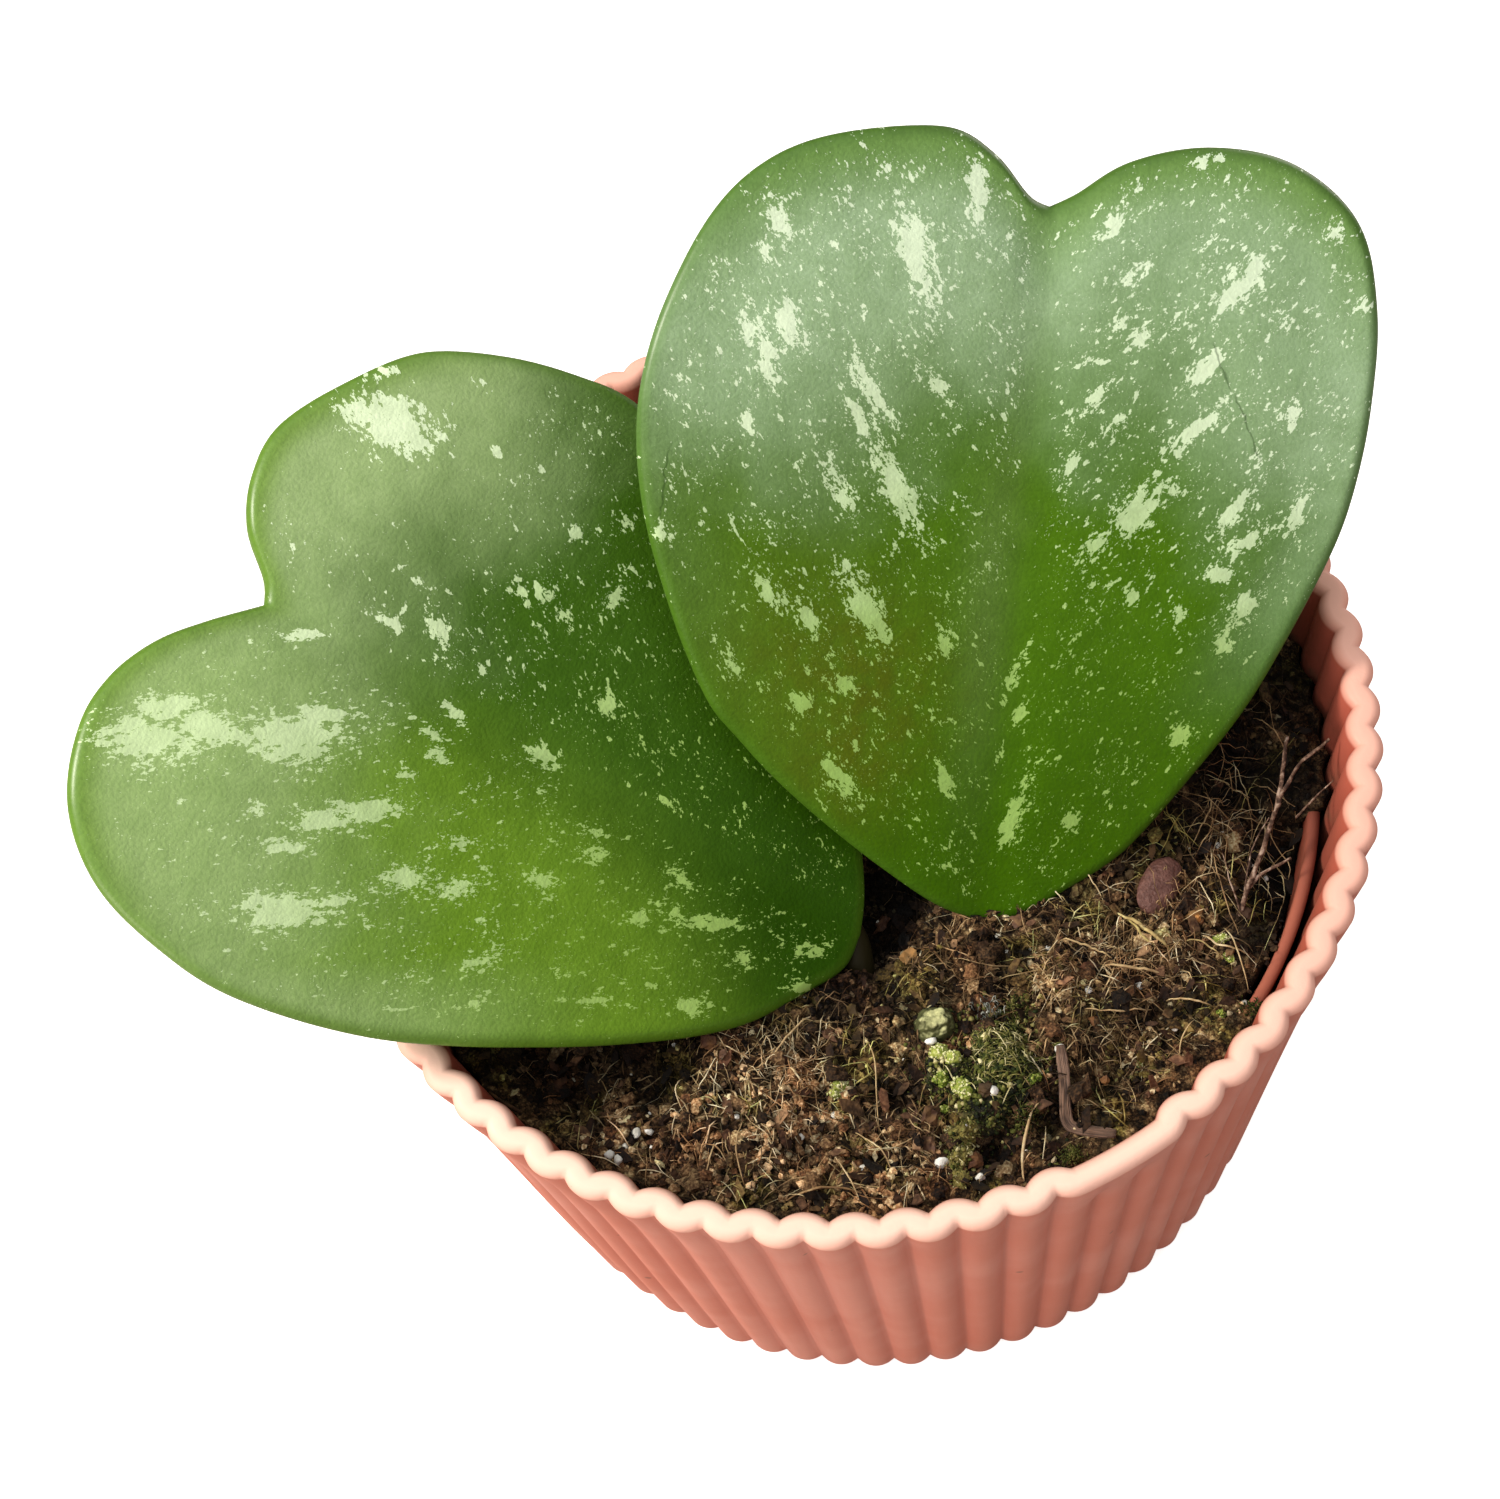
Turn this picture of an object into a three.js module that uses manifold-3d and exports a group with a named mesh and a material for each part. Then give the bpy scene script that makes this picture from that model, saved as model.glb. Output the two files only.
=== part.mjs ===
// Splash sweetheart hoya: two heart-shaped leaves, rooted in a liner that stands in a fluted pot.
// Millimetres, +Z up. The origin is the centre of the pot's underside.
import * as THREE from 'three';
import { mergeVertices } from 'three/addons/utils/BufferGeometryUtils.js';
import Module from 'manifold-3d';

const wasm = await Module();
wasm.setup();

// Space kept between pieces that touch
const seatGap = 0.3;

// Fluted pot. A flute's groove lies at each multiple of 5 degrees.
const potHeight = 73;
const fluteCount = 72;
const stepsPerFlute = 4;
const rimGrooveRadius = 58.4;
const footGrooveRadius = 53.2;
const fluteDepth = 1;
const potWall = 2.9;
const potFloor = 3;
const rimRounding = 1;
const footRounding = 1.6;
// How far the wall draws in just below the rim, compared with a straight cone
const lipFlare = 0.5;
// At the rim two grooves are missing, and they fade in below it
const plainStretch = { from: -72.5, to: -62.5, fadeTop: 68, fadeEnd: 62 };

// Liner pot, smooth inside and out
const linerRimHeight = 61;
const linerRimRadius = 54.1;
const linerFootRadius = 49.9;
const linerWall = 1.4;
const linerFloor = 2;
const linerSides = 72;
const linerSoftEdge = 0.4;
const drainHoles = { count: 5, radius: 3.5, circle: 26, sides: 14 };

// Soil, with its middle level and the stretch where it covers the liner's rim
const soilLevel = 61;
const soilRings = 14;
const soilSectors = 60;
const soilNeck = { below: 0.6, run: 1.5, step: 0.8, clear: 0.1, edgeFrom: 0.86 };
const spill = { from: -15, to: 248, radius: 53.8, least: 1, sink: 0.8 };
const soilLumps = [
  { cell: 7, rise: 1.1, seed: 11 },
  { cell: 3.4, rise: 0.5, seed: 23 },
];
// Rises and hollows of the soil: centre x and y, radius, height
const soilForms = [
  [47, 2, 15, 4],
  [20, -29.5, 5.5, 1.6],
  [8, -41, 7, 1.2],
  [-13.5, -36.5, 9, 1.4],
  [12, -24, 6, 1.4],
  [0.5, -20, 6, -4.2],
  [4, -16, 6, -3],
  [47.8, -18.7, 6.5, -7],
  [-36, -31, 9, -2.4],
  [11, -44.8, 3.5, -2],
  [-27, 30, 14, 1.5],
];
const soilSeed = 4021;
const crumbs = { count: 40, least: 1.2, most: 2.4, reach: 47, flat: 0.8, lift: 0.1 };
const fibres = { count: 16, radius: 0.45, least: 7, most: 15, rise: 1.7, dip: 1.3, reach: 42 };
const fibreMesh = { sides: 4, steps: 6 };

// Leaf blade, in its own frame: y runs from the stalk to the notch, x across, z out of the upper face
const blade = {
  centreY: 44,
  halfSteps: 34,
  insets: [0.35, 1.3, 4, 11, 21],
  edgeHalf: 1.35,
  midHalf: 1.8,
  edgeReach: 1.5,
  thickenFrom: 1,
  thickenTo: 16,
  cup: 2.4,
  cupPower: 1.5,
  groove: 0.6,
  grooveWidth: 2.4,
  curl: 1.6,
  curlFrom: 56,
  curlTo: 84,
  halfWidth: 39,
  rib: 0.9,
  ribWidth: 1.6,
  ribEnd: 62,
  ribPower: 0.6,
};
const stalkMesh = { sides: 10, steps: 8, inBlade: 2 };
// Each outline goes up the right side from the stalk to the notch, and down the left side
const leaves = {
  leaf_right: {
    foot: [13.4, -20.4, 61],
    heading: -17,
    pitch: 42.5,
    roll: 17,
    rightSide: [
      [0, -1], [3.4, -0.2], [7.6, 2.6], [14.6, 8.2], [21, 17], [26.7, 26.3], [31.4, 37.5], [34.3, 46.5],
      [35.4, 57], [34.8, 68], [31.8, 76.9], [24.9, 82.1], [16.2, 83.3], [7.8, 81.3], [2.6, 77.8], [0, 76.4],
    ],
    leftSide: [
      [0, 76.4], [-2.3, 77.4], [-6.2, 81.3], [-11.4, 83.6], [-21, 82.5], [-29.1, 79.4], [-35.1, 73.2],
      [-39.6, 63.1], [-41.4, 52.8], [-39.4, 40.5], [-33.4, 25.2], [-28.7, 19.2], [-21.8, 12.6],
      [-12.9, 5.8], [-5.8, 1.2], [0, -1],
    ],
    stalk: [[0, 6, -1], [0, 0.5, -1.6], [0.5, -4.5, -7], [1.2, -6.5, -15]],
    stalkRadii: [1.4, 2.4, 2.1, 2],
  },
  leaf_left: {
    foot: [-0.8, -20.7, 61],
    heading: 62.5,
    pitch: 32,
    roll: -10.5,
    rightSide: [
      [0, -0.3], [3.8, 1.3], [9, 4.4], [17, 10], [24.5, 18.5], [31, 29], [36.5, 40], [39.2, 50],
      [38.5, 57], [36.3, 64.4], [32, 72.4], [25.2, 77.7], [17.5, 81.6], [11.3, 81.4], [6.2, 79.2],
      [2.3, 75.1], [0, 73.8],
    ],
    leftSide: [
      [0, 73.8], [-4.6, 78.1], [-9, 81.5], [-14.4, 83.6], [-20.2, 83.6], [-27.9, 80.5], [-33.4, 74.4],
      [-36.2, 66.3], [-37.1, 57], [-34.8, 44.2], [-30.6, 33.5], [-23.3, 19.5], [-16, 8.8],
      [-8.6, 2.8], [-4, -0.1], [0, -0.3],
    ],
    stalk: [[0, 6, -1], [0, 0.8, -1.3], [-0.4, -3.2, -3.8], [-0.3, -4.6, -12]],
    stalkRadii: [1.2, 1.8, 1.7, 1.6],
  },
};

// Loose bits that lie on the soil
const barkChip = { at: [32.9, -20.3], size: [7, 5.2, 2.4], turn: 62, tilt: 12, sink: 0.5 };
const crustedStone = { at: [6.1, -33.1], size: [5, 4.2, 3.6], turn: 15, tilt: 0, sink: 1 };
const mossClump = {
  lumps: [
    [8.9, -43, 4.2, 2.4],
    [6.4, -38.6, 3.8, 2.6],
    [12, -40.6, 3.4, 2],
    [6.4, -46.6, 3, 1.8],
  ],
  depth: 0.9,
  turn: 40,
  sink: 0.9,
};
const pebbleSwell = { share: 0.16, lumps: 3, shift: 9 };
const looseSeeds = { bark: 41, stone: 42, moss: 60 };
const dryRoot = {
  sides: 5,
  steps: 7,
  taper: 0.75,
  stems: [
    {
      radius: 0.6,
      path: [
        [40.5, -25, 58.5], [41.5, -23.4, 61.3], [44.8, -17.9, 64.2], [46.9, -14, 66.2], [49.1, -7.8, 68.6],
      ],
    },
    { radius: 0.5, path: [[46.2, -15.3, 65.6], [49.6, -11.2, 68], [53.1, -9.7, 70.3]] },
    { radius: 0.45, path: [[42.2, -22.3, 61.9], [43.9, -21, 62.6], [47.3, -19.9, 63.4]] },
  ],
};
const woodStrip = {
  width: 2.2,
  thickness: 0.9,
  steps: 10,
  path: [[19, -36.6, 62.4], [18.7, -41, 62], [18.3, -45.4, 61.9], [21.6, -47, 62.3]],
};

const radians = THREE.MathUtils.degToRad;

function seededRandom(seed) {
  let state = seed >>> 0;
  return () => {
    state = (state + 0x6d2b79f5) >>> 0;
    let t = Math.imul(state ^ (state >>> 15), 1 | state);
    t = (t + Math.imul(t ^ (t >>> 7), 61 | t)) ^ t;
    return ((t ^ (t >>> 14)) >>> 0) / 4294967296;
  };
}

// Smooth bumps between the values at the corners of a square lattice
function bumps(x, y, cell, seed) {
  const corner = (i, j) => seededRandom(seed + i * 7919 + j * 104729)() * 2 - 1;
  const i = Math.floor(x / cell);
  const j = Math.floor(y / cell);
  const u = THREE.MathUtils.smoothstep(x / cell - i, 0, 1);
  const v = THREE.MathUtils.smoothstep(y / cell - j, 0, 1);
  const low = THREE.MathUtils.lerp(corner(i, j), corner(i + 1, j), u);
  const high = THREE.MathUtils.lerp(corner(i, j + 1), corner(i + 1, j + 1), u);
  return THREE.MathUtils.lerp(low, high, v);
}

// A closed skin over rings of equal point count, with a fan to a centre point at each end
function skin(rings, startCentre, endCentre) {
  const points = [startCentre, ...rings.flat(), endCentre];
  const n = rings[0].length;
  const last = points.length - 1;
  const index = [];
  for (let k = 0; k < n; k++) {
    const next = (k + 1) % n;
    index.push(0, 1 + next, 1 + k);
    for (let r = 0; r + 1 < rings.length; r++) {
      const a = 1 + r * n + k;
      const b = 1 + r * n + next;
      index.push(a, b, b + n, a, b + n, a + n);
    }
    const top = 1 + (rings.length - 1) * n;
    index.push(top + k, top + next, last);
  }
  const geometry = new THREE.BufferGeometry();
  geometry.setAttribute('position', new THREE.Float32BufferAttribute(points.flat(), 3));
  geometry.setIndex(index);
  return geometry;
}

function signedVolume(geometry) {
  const p = geometry.attributes.position;
  const index = geometry.index;
  const [a, b, c] = [new THREE.Vector3(), new THREE.Vector3(), new THREE.Vector3()];
  let sum = 0;
  for (let t = 0; t < index.count; t += 3) {
    a.fromBufferAttribute(p, index.getX(t));
    b.fromBufferAttribute(p, index.getX(t + 1));
    c.fromBufferAttribute(p, index.getX(t + 2));
    sum += a.dot(b.cross(c));
  }
  return sum / 6;
}

// A manifold solid from a closed geometry, with its faces turned outward
function solidOf(source) {
  const bare = source.clone();
  bare.deleteAttribute('normal');
  bare.deleteAttribute('uv');
  const geometry = mergeVertices(bare, 1e-4);
  const triVerts = new Uint32Array(geometry.index.array);
  if (signedVolume(geometry) < 0) {
    for (let t = 0; t < triVerts.length; t += 3) {
      [triVerts[t], triVerts[t + 1]] = [triVerts[t + 1], triVerts[t]];
    }
  }
  const vertProperties = new Float32Array(geometry.attributes.position.array);
  return new wasm.Manifold(new wasm.Mesh({ numProp: 3, vertProperties, triVerts }));
}

function geometryOf(solid) {
  const mesh = solid.getMesh();
  const geometry = new THREE.BufferGeometry();
  geometry.setAttribute('position', new THREE.Float32BufferAttribute(mesh.vertProperties, 3));
  geometry.setIndex(new THREE.Uint32BufferAttribute(mesh.triVerts, 1));
  geometry.computeVertexNormals();
  return geometry;
}

function join(solids) {
  return solids.reduce((whole, solid) => whole.add(solid));
}

function largestPiece(solid) {
  const volume = (piece) => piece.volume();
  return solid.decompose().sort((a, b) => volume(b) - volume(a))[0];
}

// A round stalk, twig or fibre whose radius may change along its path
function stem(path, radii, sides, steps) {
  const curve = new THREE.CatmullRomCurve3(path.map((p) => new THREE.Vector3(...p)));
  const frames = curve.computeFrenetFrames(steps, false);
  const rings = [];
  for (let k = 0; k <= steps; k++) {
    const t = k / steps;
    const centre = curve.getPointAt(t);
    const along = t * (radii.length - 1);
    const low = Math.min(Math.floor(along), radii.length - 2);
    const radius = THREE.MathUtils.lerp(radii[low], radii[low + 1], along - low);
    const ring = [];
    for (let s = 0; s < sides; s++) {
      const angle = (s / sides) * Math.PI * 2;
      const point = centre.clone();
      point.addScaledVector(frames.normals[k], Math.cos(angle) * radius);
      point.addScaledVector(frames.binormals[k], Math.sin(angle) * radius);
      ring.push(point.toArray());
    }
    rings.push(ring);
  }
  return solidOf(skin(rings, curve.getPointAt(0).toArray(), curve.getPointAt(1).toArray()));
}

// Height of a flute's round back above the line between its two grooves
const halfPitch = (Math.PI * rimGrooveRadius) / fluteCount;
const fluteArc = (halfPitch ** 2 + fluteDepth ** 2) / (2 * fluteDepth);
function fluteHeight(share) {
  const across = (share - 0.5) * 2 * halfPitch;
  return Math.sqrt(fluteArc ** 2 - across ** 2) - (fluteArc - fluteDepth);
}

function inPlainStretch(degrees) {
  return degrees >= plainStretch.from - 0.01 && degrees <= plainStretch.to + 0.01;
}

// One ring of the fluted wall. Outside, the grooves are at whole flutes, and inside half a flute on.
function fluteRing(height, side, inset) {
  const ring = [];
  const count = fluteCount * stepsPerFlute;
  const up = height / potHeight;
  const grooveRadius = THREE.MathUtils.lerp(footGrooveRadius, rimGrooveRadius, up);
  const plain = THREE.MathUtils.smoothstep(height, plainStretch.fadeEnd, plainStretch.fadeTop);
  for (let k = 0; k < count; k++) {
    const degrees = (k / count) * 360 - 180;
    const share = (k % stepsPerFlute) / stepsPerFlute;
    let outer = fluteHeight(share);
    let inner = fluteHeight((share + 0.5) % 1);
    if (inPlainStretch(degrees)) {
      outer = THREE.MathUtils.lerp(outer, fluteDepth, plain);
      inner = THREE.MathUtils.lerp(inner, 0, plain);
    }
    const outside = grooveRadius + outer - inset;
    const inside = grooveRadius - potWall + fluteDepth - inner + inset;
    const radius = side === 'outer' ? outside : inside;
    const angle = radians(degrees);
    ring.push([Math.cos(angle) * radius, Math.sin(angle) * radius, height]);
  }
  return ring;
}

function flutedPot() {
  const shoulder = potHeight - rimRounding;
  const rings = [
    fluteRing(0, 'outer', footRounding),
    fluteRing(footRounding, 'outer', 0),
    fluteRing(plainStretch.fadeEnd, 'outer', lipFlare),
    fluteRing(plainStretch.fadeTop, 'outer', lipFlare / 2),
    fluteRing(shoulder, 'outer', 0),
    fluteRing(potHeight, 'outer', rimRounding),
    fluteRing(potHeight, 'inner', rimRounding),
    fluteRing(shoulder, 'inner', 0),
    fluteRing(plainStretch.fadeEnd, 'inner', 0),
    fluteRing(potFloor, 'inner', 0),
  ];
  return solidOf(skin(rings, [0, 0, 0], [0, 0, potFloor]));
}

function circle(radius, height, count) {
  const ring = [];
  for (let k = 0; k < count; k++) {
    const angle = (k / count) * Math.PI * 2;
    ring.push([Math.cos(angle) * radius, Math.sin(angle) * radius, height]);
  }
  return ring;
}

const linerFoot = potFloor + seatGap;
function linerRadiusAt(height) {
  const up = (height - linerFoot) / (linerRimHeight - linerFoot);
  return THREE.MathUtils.lerp(linerFootRadius, linerRimRadius, up);
}

function linerPot() {
  const inside = linerFoot + linerFloor;
  const rim = linerRimHeight - linerSoftEdge;
  const rings = [
    circle(linerFootRadius - 1, linerFoot, linerSides),
    circle(linerFootRadius, linerFoot + 1, linerSides),
    circle(linerRadiusAt(rim), rim, linerSides),
    circle(linerRimRadius - linerSoftEdge, linerRimHeight, linerSides),
    circle(linerRimRadius - linerWall + linerSoftEdge, linerRimHeight, linerSides),
    circle(linerRadiusAt(rim) - linerWall, rim, linerSides),
    circle(linerRadiusAt(inside) - linerWall, inside, linerSides),
  ];
  let pot = solidOf(skin(rings, [0, 0, linerFoot], [0, 0, inside]));
  const { count, radius, sides } = drainHoles;
  for (const [x, y] of circle(drainHoles.circle, 0, count)) {
    const hole = new THREE.CylinderGeometry(radius, radius, 4 * linerFloor, sides);
    hole.rotateX(Math.PI / 2);
    hole.translate(x, y, linerFoot + linerFloor / 2);
    pot = pot.subtract(solidOf(hole));
  }
  return pot;
}

// Height of the soil's surface, without its crumbs
function soilHeight(x, y) {
  let height = soilLevel;
  for (const { cell, rise, seed } of soilLumps) {
    height += rise * bumps(x, y, cell, seed);
  }
  for (const [cx, cy, radius, rise] of soilForms) {
    const d = Math.hypot(x - cx, y - cy) / radius;
    height += rise * Math.exp(-d * d);
  }
  return height;
}

function spillsOver(angle) {
  let degrees = THREE.MathUtils.radToDeg(angle);
  if (degrees < spill.from) {
    degrees += 360;
  }
  return degrees > spill.from && degrees < spill.to;
}

function soilBody() {
  const bottom = linerFoot + linerFloor + seatGap;
  const neck = linerRimHeight - soilNeck.below;
  const insideAt = (height) => linerRadiusAt(height) - linerWall - seatGap - soilNeck.clear;
  const overRim = linerRimHeight + seatGap + soilNeck.clear;
  const brim = circle(1, 0, soilSectors).map(([x, y]) => {
    if (spillsOver(Math.atan2(y, x))) {
      return [x * spill.radius, y * spill.radius, overRim];
    }
    return [x * insideAt(neck), y * insideAt(neck), neck];
  });
  const rings = [
    circle(insideAt(bottom), bottom, soilSectors),
    circle(insideAt(neck - soilNeck.run), neck - soilNeck.run, soilSectors),
    circle(insideAt(neck), overRim, soilSectors).map(([x, y], k) => {
      const over = spillsOver(Math.atan2(y, x));
      return over ? [x, y, overRim] : [brim[k][0], brim[k][1], neck - soilNeck.step];
    }),
    brim,
  ];
  for (let r = soilRings; r > 0; r--) {
    const share = r / (soilRings + 1);
    const ring = brim.map(([x, y]) => {
      const px = x * share;
      const py = y * share;
      const height = soilHeight(px, py);
      const edge = THREE.MathUtils.smoothstep(share, soilNeck.edgeFrom, 1);
      const over = spillsOver(Math.atan2(y, x));
      const rim = over ? Math.max(height - spill.sink, overRim + spill.least) : neck + seatGap;
      return [px, py, THREE.MathUtils.lerp(height, rim, edge)];
    });
    rings.push(ring);
  }
  return solidOf(skin(rings, [0, 0, bottom], [0, 0, soilHeight(0, 0)]));
}

// An even random place in a disc
function scattered(random, reach) {
  const angle = random() * Math.PI * 2;
  const distance = Math.sqrt(random()) * reach;
  return [Math.cos(angle) * distance, Math.sin(angle) * distance];
}

function crumbSolids(random) {
  const solids = [];
  for (let k = 0; k < crumbs.count; k++) {
    const [x, y] = scattered(random, crumbs.reach);
    const size = THREE.MathUtils.lerp(crumbs.least, crumbs.most, random());
    const crumb = new THREE.OctahedronGeometry(size, 0);
    crumb.scale(1, THREE.MathUtils.lerp(0.7, 1.2, random()), crumbs.flat);
    crumb.rotateX(random() * Math.PI);
    crumb.rotateZ(random() * Math.PI * 2);
    crumb.translate(x, y, soilHeight(x, y) + crumbs.lift * size);
    solids.push(solidOf(crumb));
  }
  return solids;
}

function fibreSolids(random) {
  const solids = [];
  for (let k = 0; k < fibres.count; k++) {
    const [middleX, middleY] = scattered(random, fibres.reach);
    const lies = random() * Math.PI;
    const length = THREE.MathUtils.lerp(fibres.least, fibres.most, random());
    const path = [-1, -0.5, 0, 0.5, 1].map((t) => {
      const x = middleX + (Math.cos(lies) * t * length) / 2;
      const y = middleY + (Math.sin(lies) * t * length) / 2;
      const arch = fibres.rise * (1 - t * t) - fibres.dip * t * t;
      return [x, y, soilHeight(x, y) + arch];
    });
    solids.push(stem(path, [fibres.radius, fibres.radius], fibreMesh.sides, fibreMesh.steps));
  }
  return solids;
}

// The middle surface of a blade, and its half thickness a given way in from the margin
function bladeLift(x, y) {
  const out = Math.abs(x) / blade.halfWidth;
  const tip = THREE.MathUtils.clamp((y - blade.curlFrom) / (blade.curlTo - blade.curlFrom), 0, 1.2);
  const groove = blade.groove * Math.exp(-((x / blade.grooveWidth) ** 2));
  return blade.cup * out ** blade.cupPower - groove - blade.curl * tip ** 2;
}

function bladeHalf(inset) {
  const round = Math.min(inset / blade.edgeReach, 1);
  const edge = blade.edgeHalf * Math.sqrt(1 - (1 - round) ** 2);
  const { thickenFrom, thickenTo } = blade;
  const inner = THREE.MathUtils.smoothstep(inset, thickenFrom, thickenTo);
  return edge + (blade.midHalf - blade.edgeHalf) * inner;
}

function bladeRib(x, y) {
  const along = THREE.MathUtils.clamp(1 - y / blade.ribEnd, 0, 1);
  return blade.rib * Math.exp(-((x / blade.ribWidth) ** 2)) * along ** blade.ribPower;
}

function bladeOutline(leaf) {
  const half = (points) => {
    const curve = new THREE.SplineCurve(points.map((p) => new THREE.Vector2(...p)));
    return curve.getSpacedPoints(blade.halfSteps).slice(0, -1);
  };
  return [...half(leaf.rightSide), ...half(leaf.leftSide)].map((p) => [p.x, p.y]);
}

function bladeSkin(leaf, grow) {
  const outline = bladeOutline(leaf);
  const place = (inset, side) => outline.map(([x, y]) => {
    const reach = Math.hypot(x, y - blade.centreY);
    const share = (reach - inset + grow) / reach;
    const px = x * share;
    const py = blade.centreY + (y - blade.centreY) * share;
    const half = inset > 0 ? bladeHalf(inset) + grow : 0;
    const rib = side < 0 ? bladeRib(px, py) : 0;
    return [px, py, bladeLift(px, py) + side * (half + rib)];
  });
  const inward = [...blade.insets].reverse();
  const rings = [
    ...inward.map((inset) => place(inset, -1)),
    place(0, 1),
    ...blade.insets.map((inset) => place(inset, 1)),
  ];
  const middle = bladeLift(0, blade.centreY);
  const half = bladeHalf(blade.centreY) + grow;
  const under = middle - half - bladeRib(0, blade.centreY);
  return skin(rings, [0, blade.centreY, under], [0, blade.centreY, middle + half]);
}

function leafFrame(leaf) {
  const turn = new THREE.Matrix4().makeRotationZ(radians(leaf.heading));
  turn.multiply(new THREE.Matrix4().makeRotationX(radians(leaf.pitch)));
  turn.multiply(new THREE.Matrix4().makeRotationY(radians(leaf.roll)));
  return turn.setPosition(...leaf.foot);
}

// One leaf with its stalk. The grown copy is a little larger all round, and cuts its seat in the soil.
function leafSolid(leaf, grow = 0) {
  const frame = leafFrame(leaf);
  const surface = bladeSkin(leaf, grow);
  surface.applyMatrix4(frame);
  const path = leaf.stalk.map((p, k) => {
    if (k < stalkMesh.inBlade) {
      return new THREE.Vector3(...p).applyMatrix4(frame).toArray();
    }
    return p.map((value, axis) => value + leaf.foot[axis]);
  });
  const radii = leaf.stalkRadii.map((radius) => radius + grow);
  return join([solidOf(surface), stem(path, radii, stalkMesh.sides, stalkMesh.steps)]);
}

function pebble({ at, size, turn, tilt, sink }, seed, grow = 0) {
  const shape = new THREE.IcosahedronGeometry(0.5, 1);
  const p = shape.attributes.position;
  const { share, lumps, shift } = pebbleSwell;
  for (let k = 0; k < p.count; k++) {
    const v = new THREE.Vector3().fromBufferAttribute(p, k);
    const swell = bumps(v.x * lumps + shift, (v.y + v.z) * lumps + shift, 1, seed);
    v.multiplyScalar(1 + share * swell);
    p.setXYZ(k, v.x, v.y, v.z);
  }
  shape.scale(...size.map((side) => side + 2 * grow));
  shape.rotateX(radians(tilt));
  shape.rotateZ(radians(turn));
  shape.translate(at[0], at[1], soilHeight(...at) + size[2] / 2 - sink);
  return solidOf(shape);
}

function mossSolid(grow = 0) {
  const { depth, turn, sink } = mossClump;
  const lumps = mossClump.lumps.map(([x, y, radius, height], k) => {
    const size = [2 * radius, 2 * radius * depth, 2 * height];
    const lump = { at: [x, y], size, turn: turn * k, tilt: 0, sink: height + sink };
    return pebble(lump, looseSeeds.moss + k, grow);
  });
  return join(lumps);
}

function dryRootSolid(grow = 0) {
  const { sides, steps, taper } = dryRoot;
  const stems = dryRoot.stems.map(({ radius, path }) => (
    stem(path, [radius + grow, taper * radius + grow], sides, steps)
  ));
  return join(stems);
}

function woodStripSolid(grow = 0) {
  const { width, thickness, steps, path } = woodStrip;
  const curve = new THREE.CatmullRomCurve3(path.map((p) => new THREE.Vector3(...p)));
  const w = width / 2 + grow;
  const t = thickness / 2 + grow;
  const section = new THREE.Shape([
    new THREE.Vector2(-t, -w),
    new THREE.Vector2(t, -w),
    new THREE.Vector2(t, w),
    new THREE.Vector2(-t, w),
  ]);
  return solidOf(new THREE.ExtrudeGeometry(section, { steps, extrudePath: curve }));
}

function soilSolid() {
  const random = seededRandom(soilSeed);
  const whole = join([soilBody(), ...crumbSolids(random), ...fibreSolids(random)]);
  const seats = [
    ...Object.values(leaves).map((leaf) => leafSolid(leaf, seatGap)),
    pebble(barkChip, looseSeeds.bark, seatGap),
    pebble(crustedStone, looseSeeds.stone, seatGap),
    mossSolid(seatGap),
    dryRootSolid(seatGap),
    woodStripSolid(seatGap),
    linerPot(),
  ];
  return largestPiece(seats.reduce((left, seat) => left.subtract(seat), whole));
}

const finishes = {
  fluted_pot: { color: 0xe8a898, roughness: 0.42 },
  liner_pot: { color: 0xc9705f, roughness: 0.5 },
  soil: { color: 0x4a3626, roughness: 0.95 },
  leaf: { color: 0x4f8427, roughness: 0.38 },
  bark_chip: { color: 0x6f4a45, roughness: 0.7 },
  dry_root: { color: 0x7a5b45, roughness: 0.85 },
  wood_strip: { color: 0x8a6a50, roughness: 0.8 },
  moss_clump: { color: 0x5c6b2c, roughness: 0.95 },
  crusted_stone: { color: 0xa9b35c, roughness: 0.9 },
};

const group = new THREE.Group();

function place(name, solid, finish) {
  const material = new THREE.MeshStandardMaterial({ ...finish, metalness: 0 });
  const mesh = new THREE.Mesh(geometryOf(solid), material);
  mesh.name = name;
  group.add(mesh);
}

place('fluted_pot', flutedPot(), finishes.fluted_pot);
place('liner_pot', linerPot(), finishes.liner_pot);
place('soil', soilSolid(), finishes.soil);
for (const [name, leaf] of Object.entries(leaves)) {
  place(name, leafSolid(leaf), finishes.leaf);
}
place('bark_chip', pebble(barkChip, looseSeeds.bark), finishes.bark_chip);
place('dry_root', dryRootSolid(), finishes.dry_root);
place('wood_strip', woodStripSolid(), finishes.wood_strip);
place('moss_clump', mossSolid(), finishes.moss_clump);
place('crusted_stone', pebble(crustedStone, looseSeeds.stone), finishes.crusted_stone);

export default group;
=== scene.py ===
import math
import random
from math import cos, exp, hypot, pi, radians, sin, sqrt

import bmesh
import bpy
import numpy as np
from mathutils import Matrix, Vector, noise


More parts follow.
